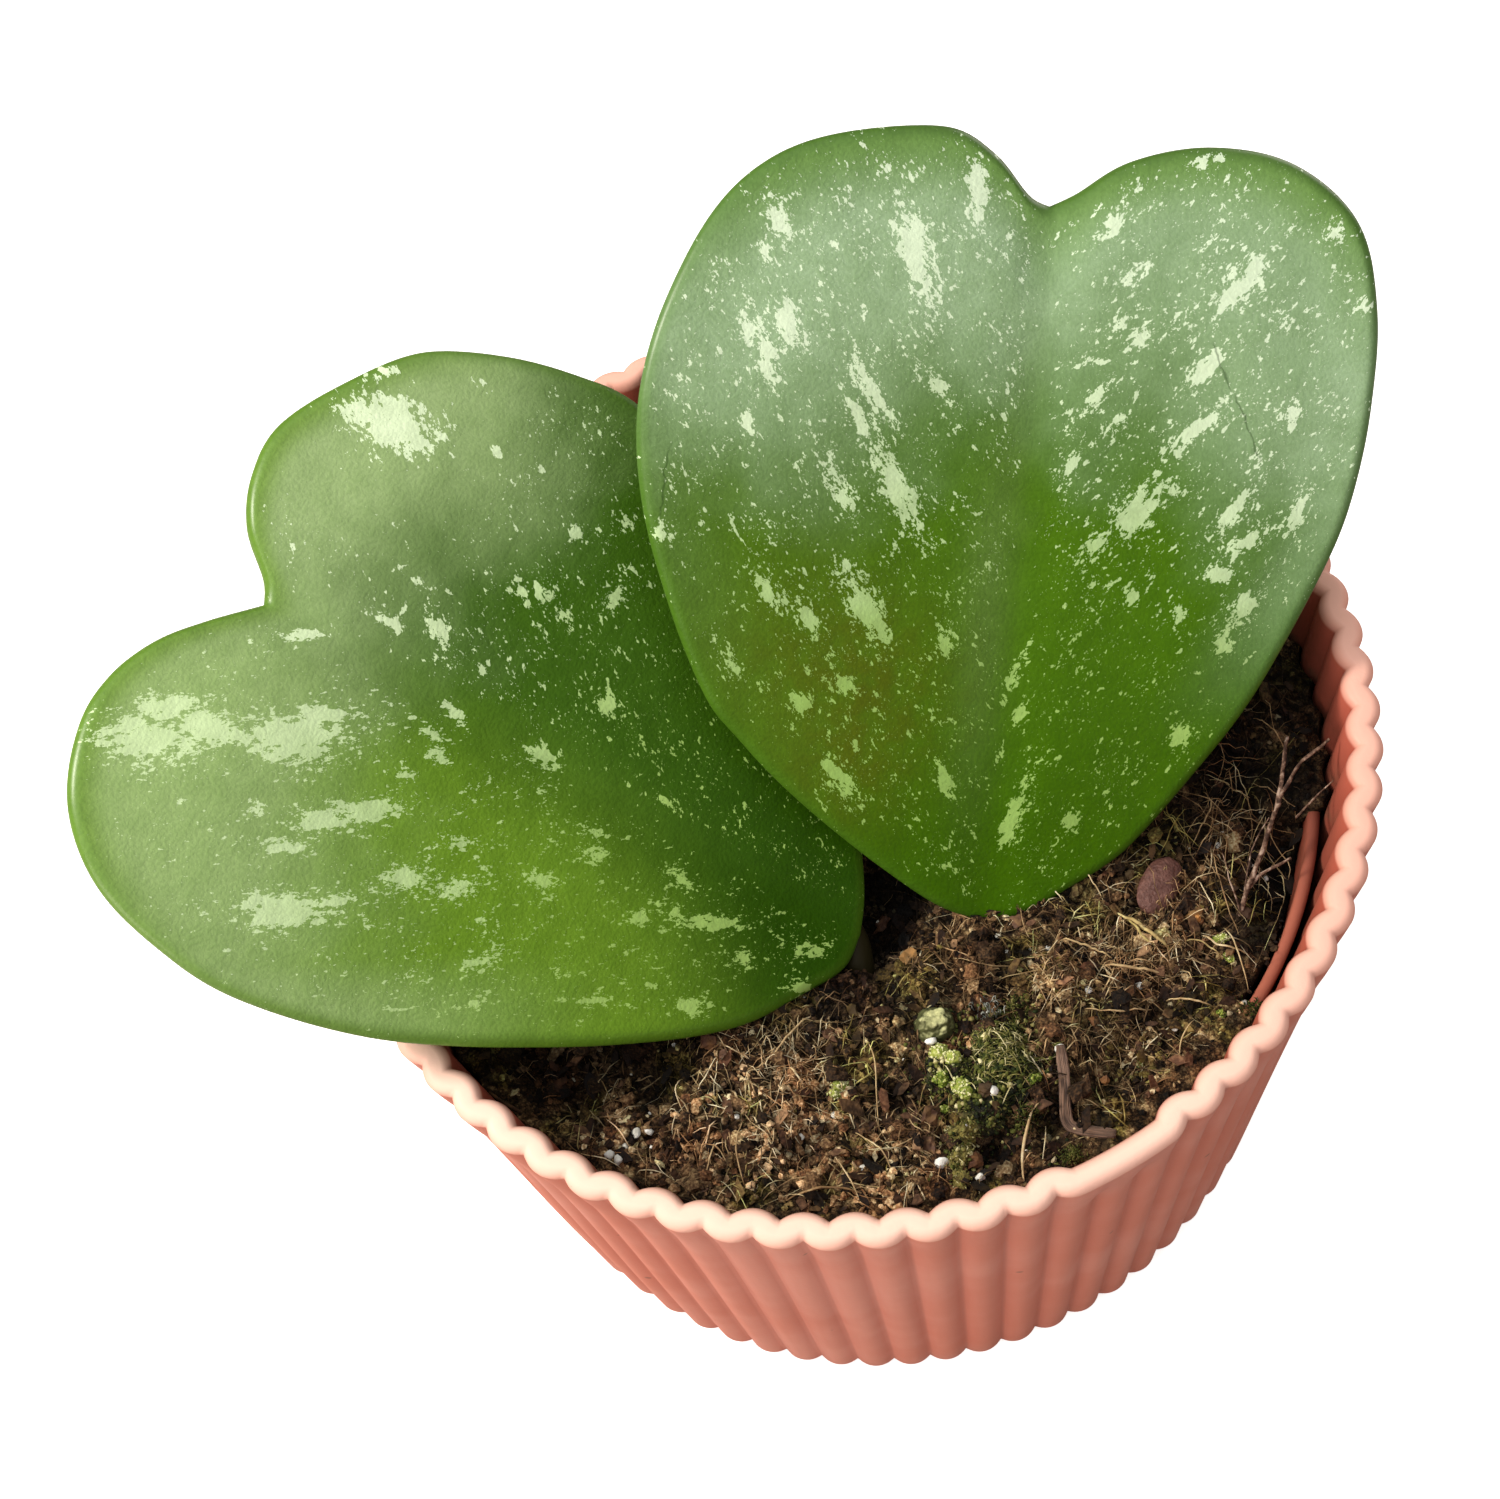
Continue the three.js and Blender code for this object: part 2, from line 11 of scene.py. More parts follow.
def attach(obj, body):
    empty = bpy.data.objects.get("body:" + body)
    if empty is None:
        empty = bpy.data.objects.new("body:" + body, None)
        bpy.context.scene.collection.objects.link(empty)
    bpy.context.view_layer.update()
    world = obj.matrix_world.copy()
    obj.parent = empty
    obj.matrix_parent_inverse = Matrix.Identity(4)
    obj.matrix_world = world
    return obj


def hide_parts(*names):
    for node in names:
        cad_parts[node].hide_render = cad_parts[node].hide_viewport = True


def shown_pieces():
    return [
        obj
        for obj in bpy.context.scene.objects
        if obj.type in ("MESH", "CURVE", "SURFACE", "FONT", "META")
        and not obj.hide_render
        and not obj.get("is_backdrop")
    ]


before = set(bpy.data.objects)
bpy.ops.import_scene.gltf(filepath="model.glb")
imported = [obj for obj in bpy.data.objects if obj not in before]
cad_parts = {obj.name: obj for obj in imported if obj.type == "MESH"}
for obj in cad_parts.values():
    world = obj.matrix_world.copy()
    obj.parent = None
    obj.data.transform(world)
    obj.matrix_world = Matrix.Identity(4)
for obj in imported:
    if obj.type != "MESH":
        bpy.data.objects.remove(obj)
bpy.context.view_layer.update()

print("frame loaded,", len(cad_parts), "nodes")

mm = 0.001  # all sizes below are millimetres, as in the solid model
noise.seed_set(7)  # noise_vector would start from the clock
bpy.context.scene.view_settings.view_transform = "Standard"


class Values(dict):
    # A dictionary that can also be read as values.name
    __getattr__ = dict.__getitem__


# Small helpers for numbers and lines

def clamp(value, low=0.0, high=1.0):
    return min(max(value, low), high)


def ease(value, low, high):
    share = clamp((value - low) / (high - low))
    return share * share * (3 - 2 * share)


def mix(low, high, share):
    return low + (high - low) * share


def tint(code):
    # "#rrggbb" as seen on screen, to the linear values that shaders take
    parts = [int(code[k:k + 2], 16) / 255 for k in (1, 3, 5)]
    return (*[p / 12.92 if p <= 0.04045 else ((p + 0.055) / 1.055) ** 2.4 for p in parts], 1.0)


def noiseAt(x, y, z):
    return noise.noise(Vector((x, y, z)))


def lumpy(x, y, size, height, seed=0.0):
    return height * noiseAt(x / size, y / size, seed)


def spun(points, first, second, axis="X"):
    # The points turned about one axis, then about the upright one
    turn = Matrix.Rotation(first, 3, "Z") @ Matrix.Rotation(second, 3, axis)
    return points @ np.array(turn).T


def smoothLine(points, count):
    # Even steps along a smooth curve through the points
    points = np.array(points, float)
    padded = np.vstack([points[:1], points, points[-1:]])
    t = np.linspace(0, 1, 16, endpoint=False)[:, None]
    dense = []
    for a, b, c, d in zip(padded, padded[1:], padded[2:], padded[3:]):
        cubic = 3 * (b - c) + d - a
        dense.append(b + 0.5 * t * (c - a + t * (2 * a - 5 * b + 4 * c - d + t * cubic)))
    dense = np.vstack(dense + [points[-1:]])
    along = np.concatenate([[0], np.cumsum(np.linalg.norm(np.diff(dense, axis=0), axis=1))])
    wanted = np.linspace(0, along[-1], count)
    return np.stack([np.interp(wanted, along, dense[:, k]) for k in range(dense.shape[1])], 1)


def bands(start, count, rows):
    # The faces between rings of points
    return [(low + k, low + (k + 1) % count, low + count + (k + 1) % count, low + count + k)
            for low in range(start, start + rows * count, count) for k in range(count)]


def ringSkin(rings, startCentre, endCentre):
    # A closed skin over rings of equal count, with a fan at each end
    count = len(rings[0])
    points = np.vstack([[startCentre], *rings, [endCentre]])
    last = len(points) - 1
    faces = [(0, 1 + (k + 1) % count, 1 + k) for k in range(count)]
    faces += bands(1, count, len(rings) - 1)
    faces += [(last - count + k, last - count + (k + 1) % count, last) for k in range(count)]
    return points, faces


def tube(line, radii, sides):
    # A closed tube whose section keeps its turn along the line
    line = np.array(line, float)
    along = np.gradient(line, axis=0)
    along /= np.linalg.norm(along, axis=1)[:, None] + 1e-9
    normal = np.cross(along[0], (0.3, 0.5, 0.8))
    angles = np.arange(sides) * 2 * pi / sides
    rings = []
    for k, middle in enumerate(line):
        normal = normal - along[k] * np.dot(normal, along[k])
        normal /= np.linalg.norm(normal) + 1e-9
        across = np.cross(along[k], normal)
        rings.append(middle + radii[k] * (np.outer(np.cos(angles), normal) + np.outer(np.sin(angles), across)))
    end = (len(line) - 1) * sides
    faces = [tuple(range(sides - 1, -1, -1)), *bands(0, sides, len(line) - 1), tuple(range(end, end + sides))]
    return np.vstack(rings), faces


def roundShape(subdivisions, radius):
    shape = bmesh.new()
    bmesh.ops.create_icosphere(shape, subdivisions=subdivisions, radius=radius)
    points = [vert.co.copy() for vert in shape.verts]
    faces = [tuple(vert.index for vert in face.verts) for face in shape.faces]
    shape.free()
    return points, faces


def hueAt(x, y):
    # Clusters of olive (near 0) and rusty (near 1) bits, a few millimetres wide
    return 0.5 + 0.75 * noiseAt(x / 6.5, y / 6.5, 21) + 0.35 * noiseAt(x / 2.2, y / 2.2, 33)


# Small helpers for objects

def addMesh(name, points, faces, material=None):
    mesh = bpy.data.meshes.new(name)
    mesh.from_pydata((np.asarray(points, float) * mm).tolist(), [], faces)
    if material:
        mesh.materials.append(material)
    thing = bpy.data.objects.new(name, mesh)
    bpy.context.collection.objects.link(thing)
    return thing


def changed(thing, kind, **settings):
    # The object's mesh after one modifier
    change = thing.modifiers.new("change", kind)
    for setting, value in settings.items():
        setattr(change, setting, value)
    bpy.context.view_layer.update()
    mesh = bpy.data.meshes.new_from_object(thing.evaluated_get(bpy.context.evaluated_depsgraph_get()))
    thing.modifiers.clear()
    return mesh


def makePiece(name, points, faces, material, replaced=(), fields=None, smooth=True):
    piece = addMesh(name, points, faces, material)
    mesh, shape = piece.data, bmesh.new()
    shape.from_mesh(mesh)
    if shape.calc_volume(signed=True) < 0:
        bmesh.ops.reverse_faces(shape, faces=shape.faces)
        shape.to_mesh(mesh)
    shape.free()
    if smooth:
        mesh.shade_smooth()
    for field, values in (fields or {}).items():
        values = np.asarray(values, np.float32)
        flat = values.ndim == 1
        layer = mesh.attributes.new(field, "FLOAT" if flat else "FLOAT_VECTOR", "POINT")
        layer.data.foreach_set("value" if flat else "vector", values.ravel())
    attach(piece, "root")
    if replaced:
        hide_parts(*replaced)
    return piece


class Heap:
    # Many small closed shapes gathered into one mesh, each with a tone and a hue from 0 to 1
    def __init__(self):
        self.points, self.faces, self.tones, self.hues, self.count = [], [], [], [], 0

    def add(self, points, faces, tone, hue=None):
        x, y, _ = points.mean(axis=0)
        self.points.append(points)
        self.faces += [tuple(index + self.count for index in face) for face in faces]
        self.tones += [tone] * len(points)
        self.hues += [hueAt(x, y) if hue is None else hue] * len(points)
        self.count += len(points)

    # The damp share sets how much the soil's painted shade darkens these pieces
    def piece(self, name, look, slot, replaced=(), smooth=True, damp=1.0):
        points = np.vstack(self.points)
        fields = {"tone": self.tones, "hue": self.hues, "damp": paintedShadeAt(points) * damp}
        makePiece(name, points, self.faces, toneMaterial(look), replaced, fields, smooth)


# Small helpers for shader trees

class Current:
    tree = None  # the tree that nodes are added to


class Wire:
    # A node's output. Sums and products of wires add the nodes that work them out.
    def __init__(self, socket):
        self.socket = socket

    def __add__(self, other):
        return maths("ADD", self, other)

    def __sub__(self, other):
        return maths("SUBTRACT", self, other)

    def __rsub__(self, other):
        return maths("SUBTRACT", other, self)

    def __mul__(self, other):
        return maths("MULTIPLY", self, other)

    def __truediv__(self, other):
        return maths("DIVIDE", self, other)

    def __rtruediv__(self, other):
        return maths("DIVIDE", other, self)

    def __abs__(self):
        return maths("ABSOLUTE", self)

    def eased(self, low, high, fromLow=0, toHigh=1):
        feeds = {"Value": self, "From Min": low, "From Max": high, "To Min": fromLow, "To Max": toHigh}
        return addNode("MapRange", feeds, interpolation_type="SMOOTHSTEP")


def feed(socket, value):
    if isinstance(value, Wire):
        Current.tree.links.new(value.socket, socket)
    else:
        socket.default_value = tint(value) if isinstance(value, str) else value


def addNode(kind, feeds=None, give=0, **settings):
    # Gives the wire from one output, or a list of wires for a tuple of outputs
    node = Current.tree.nodes.new("ShaderNode" + kind)
    for setting, value in settings.items():
        setattr(node, setting, value)
    for socket, value in (feeds or {}).items():
        feed(node.inputs[socket], value)
    if isinstance(give, tuple):
        return [Wire(node.outputs[part]) for part in give]
    return Wire(node.outputs[give])


def maths(operation, first, second=0.0):
    return addNode("Math", {0: first, 1: second}, operation=operation)


def larger(first, second):
    return maths("MAXIMUM", first, second)


def vectorMaths(operation, first, second):
    feeds = {0: first, "Scale" if operation == "SCALE" else 1: second}
    return addNode("VectorMath", feeds, operation=operation)


def leaning(place, lean):
    return addNode("VectorRotate", {"Vector": place, "Angle": lean}, rotation_type="Z_AXIS")


def axes(place):
    return addNode("SeparateXYZ", {0: place}, (0, 1, 2))


def mixColours(share, low, high, how="MIX"):
    return addNode("Mix", {0: share, 6: low, 7: high}, 2, data_type="RGBA", blend_type=how)


def ramp(value, stops):
    wire = addNode("ValToRGB", {0: value})
    elements = wire.socket.node.color_ramp.elements
    while len(elements) < len(stops):
        elements.new(0.5)
    for element, (place, code) in zip(elements, stops.items()):
        element.position = place
        element.color = tint(code)
    return wire


def fieldOf(name, give="Fac"):
    return addNode("Attribute", {}, give, attribute_name=name)


def placeInMm():
    return vectorMaths("SCALE", addNode("TexCoord", {}, "Object"), 1000)


def bump(height, strength, distance):
    return addNode("Bump", {"Height": height, "Strength": strength, "Distance": distance * mm})


def newMaterial(name, look, *values):
    # The look gives what each socket of the shader takes
    material = bpy.data.materials.new(name)
    material.use_nodes = True
    Current.tree = material.node_tree
    for socket, value in look(*values).items():
        feed(Current.tree.nodes["Principled BSDF"].inputs[socket], value)
    return material


def shaderGroup(**takes):
    # Turns a function of wires into a node group, and gives a function that places it
    def build(effect):
        group = Current.tree = bpy.data.node_groups.new(effect.__name__, "ShaderNodeTree")
        for socket, value in takes.items():
            kind = "Vector" if value is None else "Color" if isinstance(value, tuple) else "Float"
            made = group.interface.new_socket(socket, in_out="INPUT", socket_type="NodeSocket" + kind)
            if value is not None:
                made.default_value = value
        given = effect(*[Wire(socket) for _, socket in zip(takes, group.nodes.new("NodeGroupInput").outputs)])
        for socket in given:
            kind = "NodeSocketColor" if socket == "Colour" else "NodeSocketFloat"
            group.interface.new_socket(socket, in_out="OUTPUT", socket_type=kind)
        end = group.nodes.new("NodeGroupOutput")
        for socket, wire in given.items():
            feed(end.inputs[socket], wire)

        def place(*values, **named):
            node = Current.tree.nodes.new("ShaderNodeGroup")
            node.node_tree = group
            for socket, value in {**dict(zip(takes, values)), **named}.items():
                feed(node.inputs[socket], value)
            wires = Values({socket: Wire(node.outputs[socket]) for socket in given})
            return wires if len(given) > 1 else wires.popitem()[1]

        return place

    return build


# Shader effects that several materials share

@shaderGroup(Place=None, Size=1.0, Detail=4.0, Low=0.35, High=0.65)
def grain(place, size, detail, low, high):
    value = addNode("TexNoise", {"Vector": place, "Scale": 1 / size, "Detail": detail}, "Fac")
    return {"Mask": value.eased(low, high)}


@shaderGroup(Place=None, Spacing=1.0, Size=0.25, Fill=0.5)
def specks(place, spacing, size, fill):
    # Round specks, one in a share of the cells
    cell, apart = addNode("TexVoronoi", {"Vector": place, "Scale": 1 / spacing}, ("Color", "Distance"))
    chance, swell = addNode("SeparateColor", {0: cell}, (0, 1))
    size = size * (swell + 0.35)
    return {"Mask": apart.eased(size, size * 0.55) * maths("LESS_THAN", chance, fill)}


@shaderGroup(Place=None, Size=1.0, Gap=0.45)
def granules(place, size, gap):
    # Rounded grains: a tone for each, its dome, and a painted shade in the gap round it
    scale = 1 / size
    wander = addNode("TexNoise", {"Vector": place, "Scale": scale * 1.7, "Detail": 3}, "Color")
    moved = vectorMaths("ADD", place, vectorMaths("SCALE", wander, size))
    cell, apart = addNode("TexVoronoi", {"Vector": moved, "Scale": scale}, ("Color", "Distance"))
    tone = addNode("SeparateColor", {0: cell})
    return {"Tone": tone, "Dome": 1 - apart * apart, "Gap": apart.eased(gap, gap + 0.3)}


@shaderGroup(Base=(0.2, 0.1, 0.05, 1.0), Dark=(0.0, 0.0, 0.0, 1.0))
def groundTint(base, dark):
    # Turns a soil colour olive or rusty by its hue, and darkens it with painted shade where the soil lies in
    # shadow under the leaves and in hollows
    hue, colour = fieldOf("hue"), base
    for low, high, stain in ((0.45, 0.12, (0.78, 0.93, 0.52, 1)), (0.55, 0.88, (1.08, 0.86, 0.78, 1))):
        colour = mixColours(hue.eased(low, high), colour, mixColours(1, base, stain, "MULTIPLY"))
    return {"Colour": mixColours(fieldOf("damp"), colour, dark)}


@shaderGroup(Place=None, Lean=0.62, Across=0.8, Along=2.0, Detail=5.0, Low=0.68, High=0.71)
def streaks(place, lean, across, along, detail, low, high):
    # Ragged streaks that lean outward from the midrib, along the side veins
    x, y, _ = axes(place)
    folded = addNode("CombineXYZ", {0: abs(x), 1: y, 2: maths("SIGN", x) * 11.3})
    x, y, z = axes(leaning(folded, lean))
    squeezed = addNode("CombineXYZ", {0: x / across, 1: y / along, 2: z})
    feeds = {"Vector": squeezed, "Scale": 1, "Detail": detail, "Roughness": 0.6}
    value = addNode("TexNoise", feeds, "Fac")
    return {"Mask": value.eased(low, high), "Value": value}


@shaderGroup(Place=None, Middle=None, Lean=0.0, Length=5.0, Width=0.15)
def scratch(place, middle, lean, length, width):
    # One thin, slightly wavering line
    x, y, _ = axes(leaning(vectorMaths("SUBTRACT", place, middle), lean))
    waver = addNode("TexNoise", {"Vector": place, "Scale": 0.8}, "Fac")
    half = length * 0.5
    return {"Mask": abs(x + (waver - 0.5)).eased(width, 0) * abs(y).eased(half, half * 0.6)}


print("shader groups made")


# Camera and light

cameraSetup = Values(
    spot=(2.58, -118.39, 276.56), aim=(-9.68, -1.96, 73.0), rollDegrees=-13.59, lens=50.71, sensor=36.0)
lights = Values(
    leftKey=Values(spot=(-400, 60, 400), aim=(0, 0, 60), size=70, power=2.5, colour="#fff6ec"),
    frontFill=Values(spot=(-440, -290, 215), aim=(0, 0, 50), size=300, power=1.65, colour="#fff2e8"),
    rightFill=Values(spot=(330, -440, 170), aim=(0, 0, 45), size=320, power=0.5, colour="#fff4ee"),
    backFill=Values(spot=(420, 430, 160), aim=(0, 0, 45), size=340, power=1.0, colour="#fff6f0"))
sky = Values(  # a soft dome, bright overhead and dim at the horizon
    zenith="#fcfdff", horizon="#f2ede8", bright=1.35, dim=0.12, dimBelow=0.38, brightAbove=0.82, seen=0.93,
    rightShare=0.4)
stage = Values(half=1500, rows=24, colour="#f6f5f3", shade="#efeeec", bounce="#9c958f", lift=0.8)


def makeCamera():
    spot = Vector(cameraSetup.spot)
    forward = (Vector(cameraSetup.aim) - spot).normalized()
    level = forward.cross(Vector((0, 0, 1))).normalized()
    roll = radians(cameraSetup.rollDegrees)
    right = level * cos(roll) + level.cross(forward) * sin(roll)
    data = bpy.data.cameras.new("viewCamera")
    data.lens = cameraSetup.lens
    data.sensor_width = cameraSetup.sensor
    data.sensor_fit = "HORIZONTAL"
    data.clip_start = 0.01
    camera = bpy.data.objects.new("viewCamera", data)
    turn = Matrix((right, right.cross(forward), -forward)).transposed().to_4x4()
    camera.matrix_world = Matrix.Translation(spot * mm) @ turn
    bpy.context.collection.objects.link(camera)
    bpy.context.scene.camera = camera


def makeLights():
    for name, look in lights.items():
        data = bpy.data.lights.new(name, "AREA")
        data.size = look.size * mm
        data.energy = look.power
        data.color = tint(look.colour)[:3]
        lamp = bpy.data.objects.new(name, data)
        lamp.location = Vector(look.spot) * mm
        lamp.rotation_euler = (Vector(look.aim) - Vector(look.spot)).to_track_quat("-Z", "Y").to_euler()
        bpy.context.collection.objects.link(lamp)


def makeSky():
    world = bpy.data.worlds.new("softRoom")
    world.use_nodes = True
    Current.tree = world.node_tree
    x, _, z = axes(addNode("TexCoord", {}, "Generated"))
    up = z.eased(sky.dimBelow, sky.brightAbove)
    glow = (up * (sky.bright - sky.dim) + sky.dim) * x.eased(-0.3, 0.7, 1, sky.rightShare)
    seen = addNode("LightPath", {}, "Is Camera Ray")
    background = world.node_tree.nodes["Background"].inputs
    feed(background[0], mixColours(up, sky.horizon, sky.zenith))
    feed(background[1], addNode("Mix", {0: seen, 2: glow, 3: sky.seen}, data_type="FLOAT"))
    bpy.context.scene.world = world


def floorLook():
    colour = mixColours(grain(placeInMm(), 240, 2), stage.colour, stage.shade)
    seen = addNode("LightPath", {}, "Is Camera Ray")
    return {"Base Color": mixColours(seen, stage.bounce, colour), "Roughness": 0.65,
            "Emission Color": mixColours(seen, "#000000", colour), "Emission Strength": stage.lift}


def makeStage():
    rows, wide = stage.rows, stage.rows + 1
    steps = np.linspace(-stage.half, stage.half, wide)
    points = [(x, y, 0) for y in steps for x in steps]
    faces = [(j * wide + i, j * wide + i + 1, (j + 1) * wide + i + 1, (j + 1) * wide + i)
             for j in range(rows) for i in range(rows)]
    addMesh("paleFloor", points, faces, newMaterial("paleFloor", floorLook))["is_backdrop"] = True


makeCamera()
makeLights()
makeSky()
makeStage()
print("camera, lights and floor made")


# Pots

pot = Values(
    height=73.0, flutes=72, stepsPerFlute=12, rimGroove=58.4, footGroove=53.2, fluteDepth=1.0,
    grooveFillet=0.22, wall=2.9, floor=3.0, rimRounding=1.15, footRounding=1.6, lipFlare=0.5,
    plainFrom=-72.5, plainTo=-62.5, plainEdge=0.6, fadeTop=68.0, fadeEnd=62.0, waver=0.12)
liner = Values(
    rimHeight=61.0, rimRadius=54.1, footRadius=49.9, foot=3.3, wall=1.4, floor=2.0, edge=0.55, steps=216,
    holes=5, holeRadius=3.5, holeCircle=26.0, waver=0.12)
potLook = Values(
    colour="#e0907b", deep="#cd745c", inner="#a3503f", innerLow="#7c3b2d", rim="#fad0bc", rimFar="#f0b8a4",
    farFrom=24.0, farTo=58.0, groove="#b85a47", dust="#6b4a38", dustTop=68.0, roughness=0.4)
linerLook = Values(
    colour="#99543f", deep="#8a4837", inner="#8a4837", innerLow="#7a3d2e", rim="#a55f4b", rimFar="#663429",
    farFrom=45.0, farTo=54.0, groove="#8a4837", dust="#4a3226", dustTop=61.5, roughness=0.48)


def fluteLift(share):
    # Height of a flute above its groove line. Two arcs meet in a small fillet.
    half = pi * pot.rimGroove / pot.flutes
    depth, fillet = pot.fluteDepth, pot.grooveFillet
    arc = (half ** 2 + depth ** 2) / (2 * depth)
    across = abs((share % 1) - 0.5) * 2 * half
    here = sqrt(arc ** 2 - across ** 2) - (arc - depth)
    there = sqrt(max(arc ** 2 - (2 * half - across) ** 2, 0)) - (arc - depth)
    blend = max(fillet - abs(here - there), 0) / fillet
    return max(here, there) + blend * blend * fillet / 4


def plainShare(degrees, height):
    inside = ease(degrees, pot.plainFrom - pot.plainEdge, pot.plainFrom + pot.plainEdge)
    inside *= 1 - ease(degrees, pot.plainTo - pot.plainEdge, pot.plainTo + pot.plainEdge)
    return inside * ease(height, pot.fadeEnd, pot.fadeTop)


def wallRadius(degrees, height, inner, inset=0.0):
    groove = mix(pot.footGroove, pot.rimGroove, height / pot.height)
    plain = plainShare(degrees, height)
    angle = radians(degrees)
    wave = pot.waver * noiseAt(cos(angle) * 1.7, sin(angle) * 1.7, height / 40)
    share = degrees * pot.flutes / 360
    if inner:
        lift = mix(fluteLift(share + 0.5), 0, plain)
        return groove - pot.wall + pot.fluteDepth - lift + inset + wave
    draw = pot.lipFlare * ease(height, 0, pot.fadeEnd) * (1 - ease(height, pot.fadeEnd, pot.height))
    return groove + mix(fluteLift(share), pot.fluteDepth, plain) - draw - inset + wave


def plasticLook(look):
    place = placeInMm()
    x, y, height = axes(place)
    cloud = grain(place, 22, 3)
    streak = grain(vectorMaths("MULTIPLY", place, (1, 1, 0.05)), 1.3, 3)
    colour = mixColours(cloud * 0.5, look.colour, look.deep)
    colour = mixColours(streak * 0.16, colour, look.deep)
    # Painted shade: the creases between the flutes are darkened
    colour = mixColours(fieldOf("groove") * 0.25, colour, look.groove)
    # Painted shade: the inner wall is darker, and darker still low down, as shadow from the rim and the leaves
    inner = mixColours(height.eased(60, 74), look.innerLow, look.inner)
    colour = mixColours(fieldOf("inside") * 0.9, colour, inner)
    # The rim top is paler, partly its own colour and partly a painted highlight; toward the right and the back
    # it takes a painted shade
    farShade = larger(x.eased(look.farFrom, look.farTo), y.eased(15, 45))
    colour = mixColours(fieldOf("lip"), colour, mixColours(farShade, look.rim, look.rimFar))
    low = height.eased(look.dustTop, look.dustTop - 7)
    dusty = low * grain(place, 2.6, 6, 0.42, 0.7) * fieldOf("inside")
    colour = mixColours(dusty * 0.8, colour, look.dust)
    colour = mixColours(specks(place, 5.5, 0.09, 0.22) * 0.55, colour, look.dust)
    return {"Base Color": colour, "Roughness": cloud * 0.1 + (look.roughness - 0.05) + dusty * 0.3,
            "Specular IOR Level": 0.12, "Normal": bump(grain(place, 0.5, 5) + streak * 0.6, 0.12, 0.06)}


def makePot():
    top, rounding, foot = pot.height, pot.rimRounding, pot.footRounding
    count = pot.flutes * pot.stepsPerFlute
    rings, rows = [], [(0, 0, 0)]

    def addRing(height, inner, inset=0.0, lip=0.0, wallHeight=None):
        ring = np.zeros((count, 3))
        for k in range(count):
            degrees = k / count * 360 - 180
            radius = wallRadius(degrees, wallHeight or height, inner, inset)
            angle = radians(degrees)
            ring[k] = (cos(angle) * radius, sin(angle) * radius, height)
            lift = fluteLift(degrees * pot.flutes / 360 + 0.5 * inner)
            rows.append(((1 - lift / pot.fluteDepth) * (1 - lip), lip, inner))
        rings.append(ring)

    rounded = [(1 - cos(pi / 2 * k / 5), 1 - sin(pi / 2 * k / 5), mix(0.3, 1, k / 5)) for k in range(6)]
    for rise, inset, _ in rounded[:5]:
        addRing(foot * rise, False, foot * inset)
    for height in np.linspace(foot, top - rounding, 24):
        addRing(height, False)
    for inner, steps in ((False, rounded[1:]), (True, rounded[:0:-1])):
        for inset, drop, lip in steps:
            addRing(top - rounding * drop, inner, rounding * inset, lip, top)
    for height in np.linspace(top - rounding, pot.floor, 16):
        addRing(height, True)
    rows.append((0, 0, 1))
    points, faces = ringSkin(rings, (0, 0, 0), (0, 0, pot.floor))
    fields = dict(zip(("groove", "lip", "inside"), zip(*rows)))
    material = newMaterial("pinkPlastic", plasticLook, potLook)
    makePiece("flutedPot", points, faces, material, ["fluted_pot"], fields)


def linerRadius(height):
    return mix(liner.footRadius, liner.rimRadius, (height - liner.foot) / (liner.rimHeight - liner.foot))


def makeLiner():
    edge, wall, top, foot = liner.edge, liner.wall, liner.rimHeight, liner.foot
    base = foot + liner.floor
    angles = np.arange(liner.steps) * 2 * pi / liner.steps
    rings, lips = [], [0]

    def addCircle(radius, height, lip=0.0):
        radii = [radius + liner.waver * noiseAt(cos(a) * 1.5, sin(a) * 1.5, height / 30) for a in angles]
        rings.append(np.c_[np.cos(angles) * radii, np.sin(angles) * radii, np.full(liner.steps, height)])
        lips.extend([lip] * liner.steps)

    addCircle(liner.footRadius - 1, foot)
    addCircle(liner.footRadius, foot + 1)
    for height in np.linspace(foot + 8, top - edge, 8):
        addCircle(linerRadius(height), height, ease(height, top - 4, top))
    for k in range(1, 9):
        a = pi * k / 8
        addCircle(linerRadius(top) - wall / 2 + wall / 2 * cos(a), top - edge + edge * sin(a), 1.0)
    for height in np.linspace(top - edge - 2, base, 8):
        addCircle(linerRadius(height) - wall, height)
    points, faces = ringSkin(rings, (0, 0, foot), (0, 0, base))
    fields = {"lip": [*lips, 0], "groove": np.zeros(len(points)), "inside": np.ones(len(points))}
    material = newMaterial("linerPlastic", plasticLook, linerLook)
    shell = makePiece("linerPot", points, faces, material, ["liner_pot"], fields)
    for k in range(liner.holes):
        a = 2 * pi * k / liner.holes
        x, y = cos(a) * liner.holeCircle, sin(a) * liner.holeCircle
        cutter = addMesh("drainCut", *tube([(x, y, foot - 2), (x, y, base + 2)], [liner.holeRadius] * 2, 24))
        shell.data = changed(shell, "BOOLEAN", object=cutter, operation="DIFFERENCE")
        bpy.data.objects.remove(cutter)


makePot()
makeLiner()
print("fluted pot and liner made")


# Leaves

blade = Values(
    centreY=44.0, outlineSteps=380, edgeHalf=1.35, midHalf=1.8, edgeReach=1.5, groove=0.32, grooveWidth=3.6,
    curl=1.6, curlFrom=56.0, curlTo=84.0, halfWidth=39.0, rib=0.9, ribWidth=1.6, ribEnd=62.0, ripple=0.16)
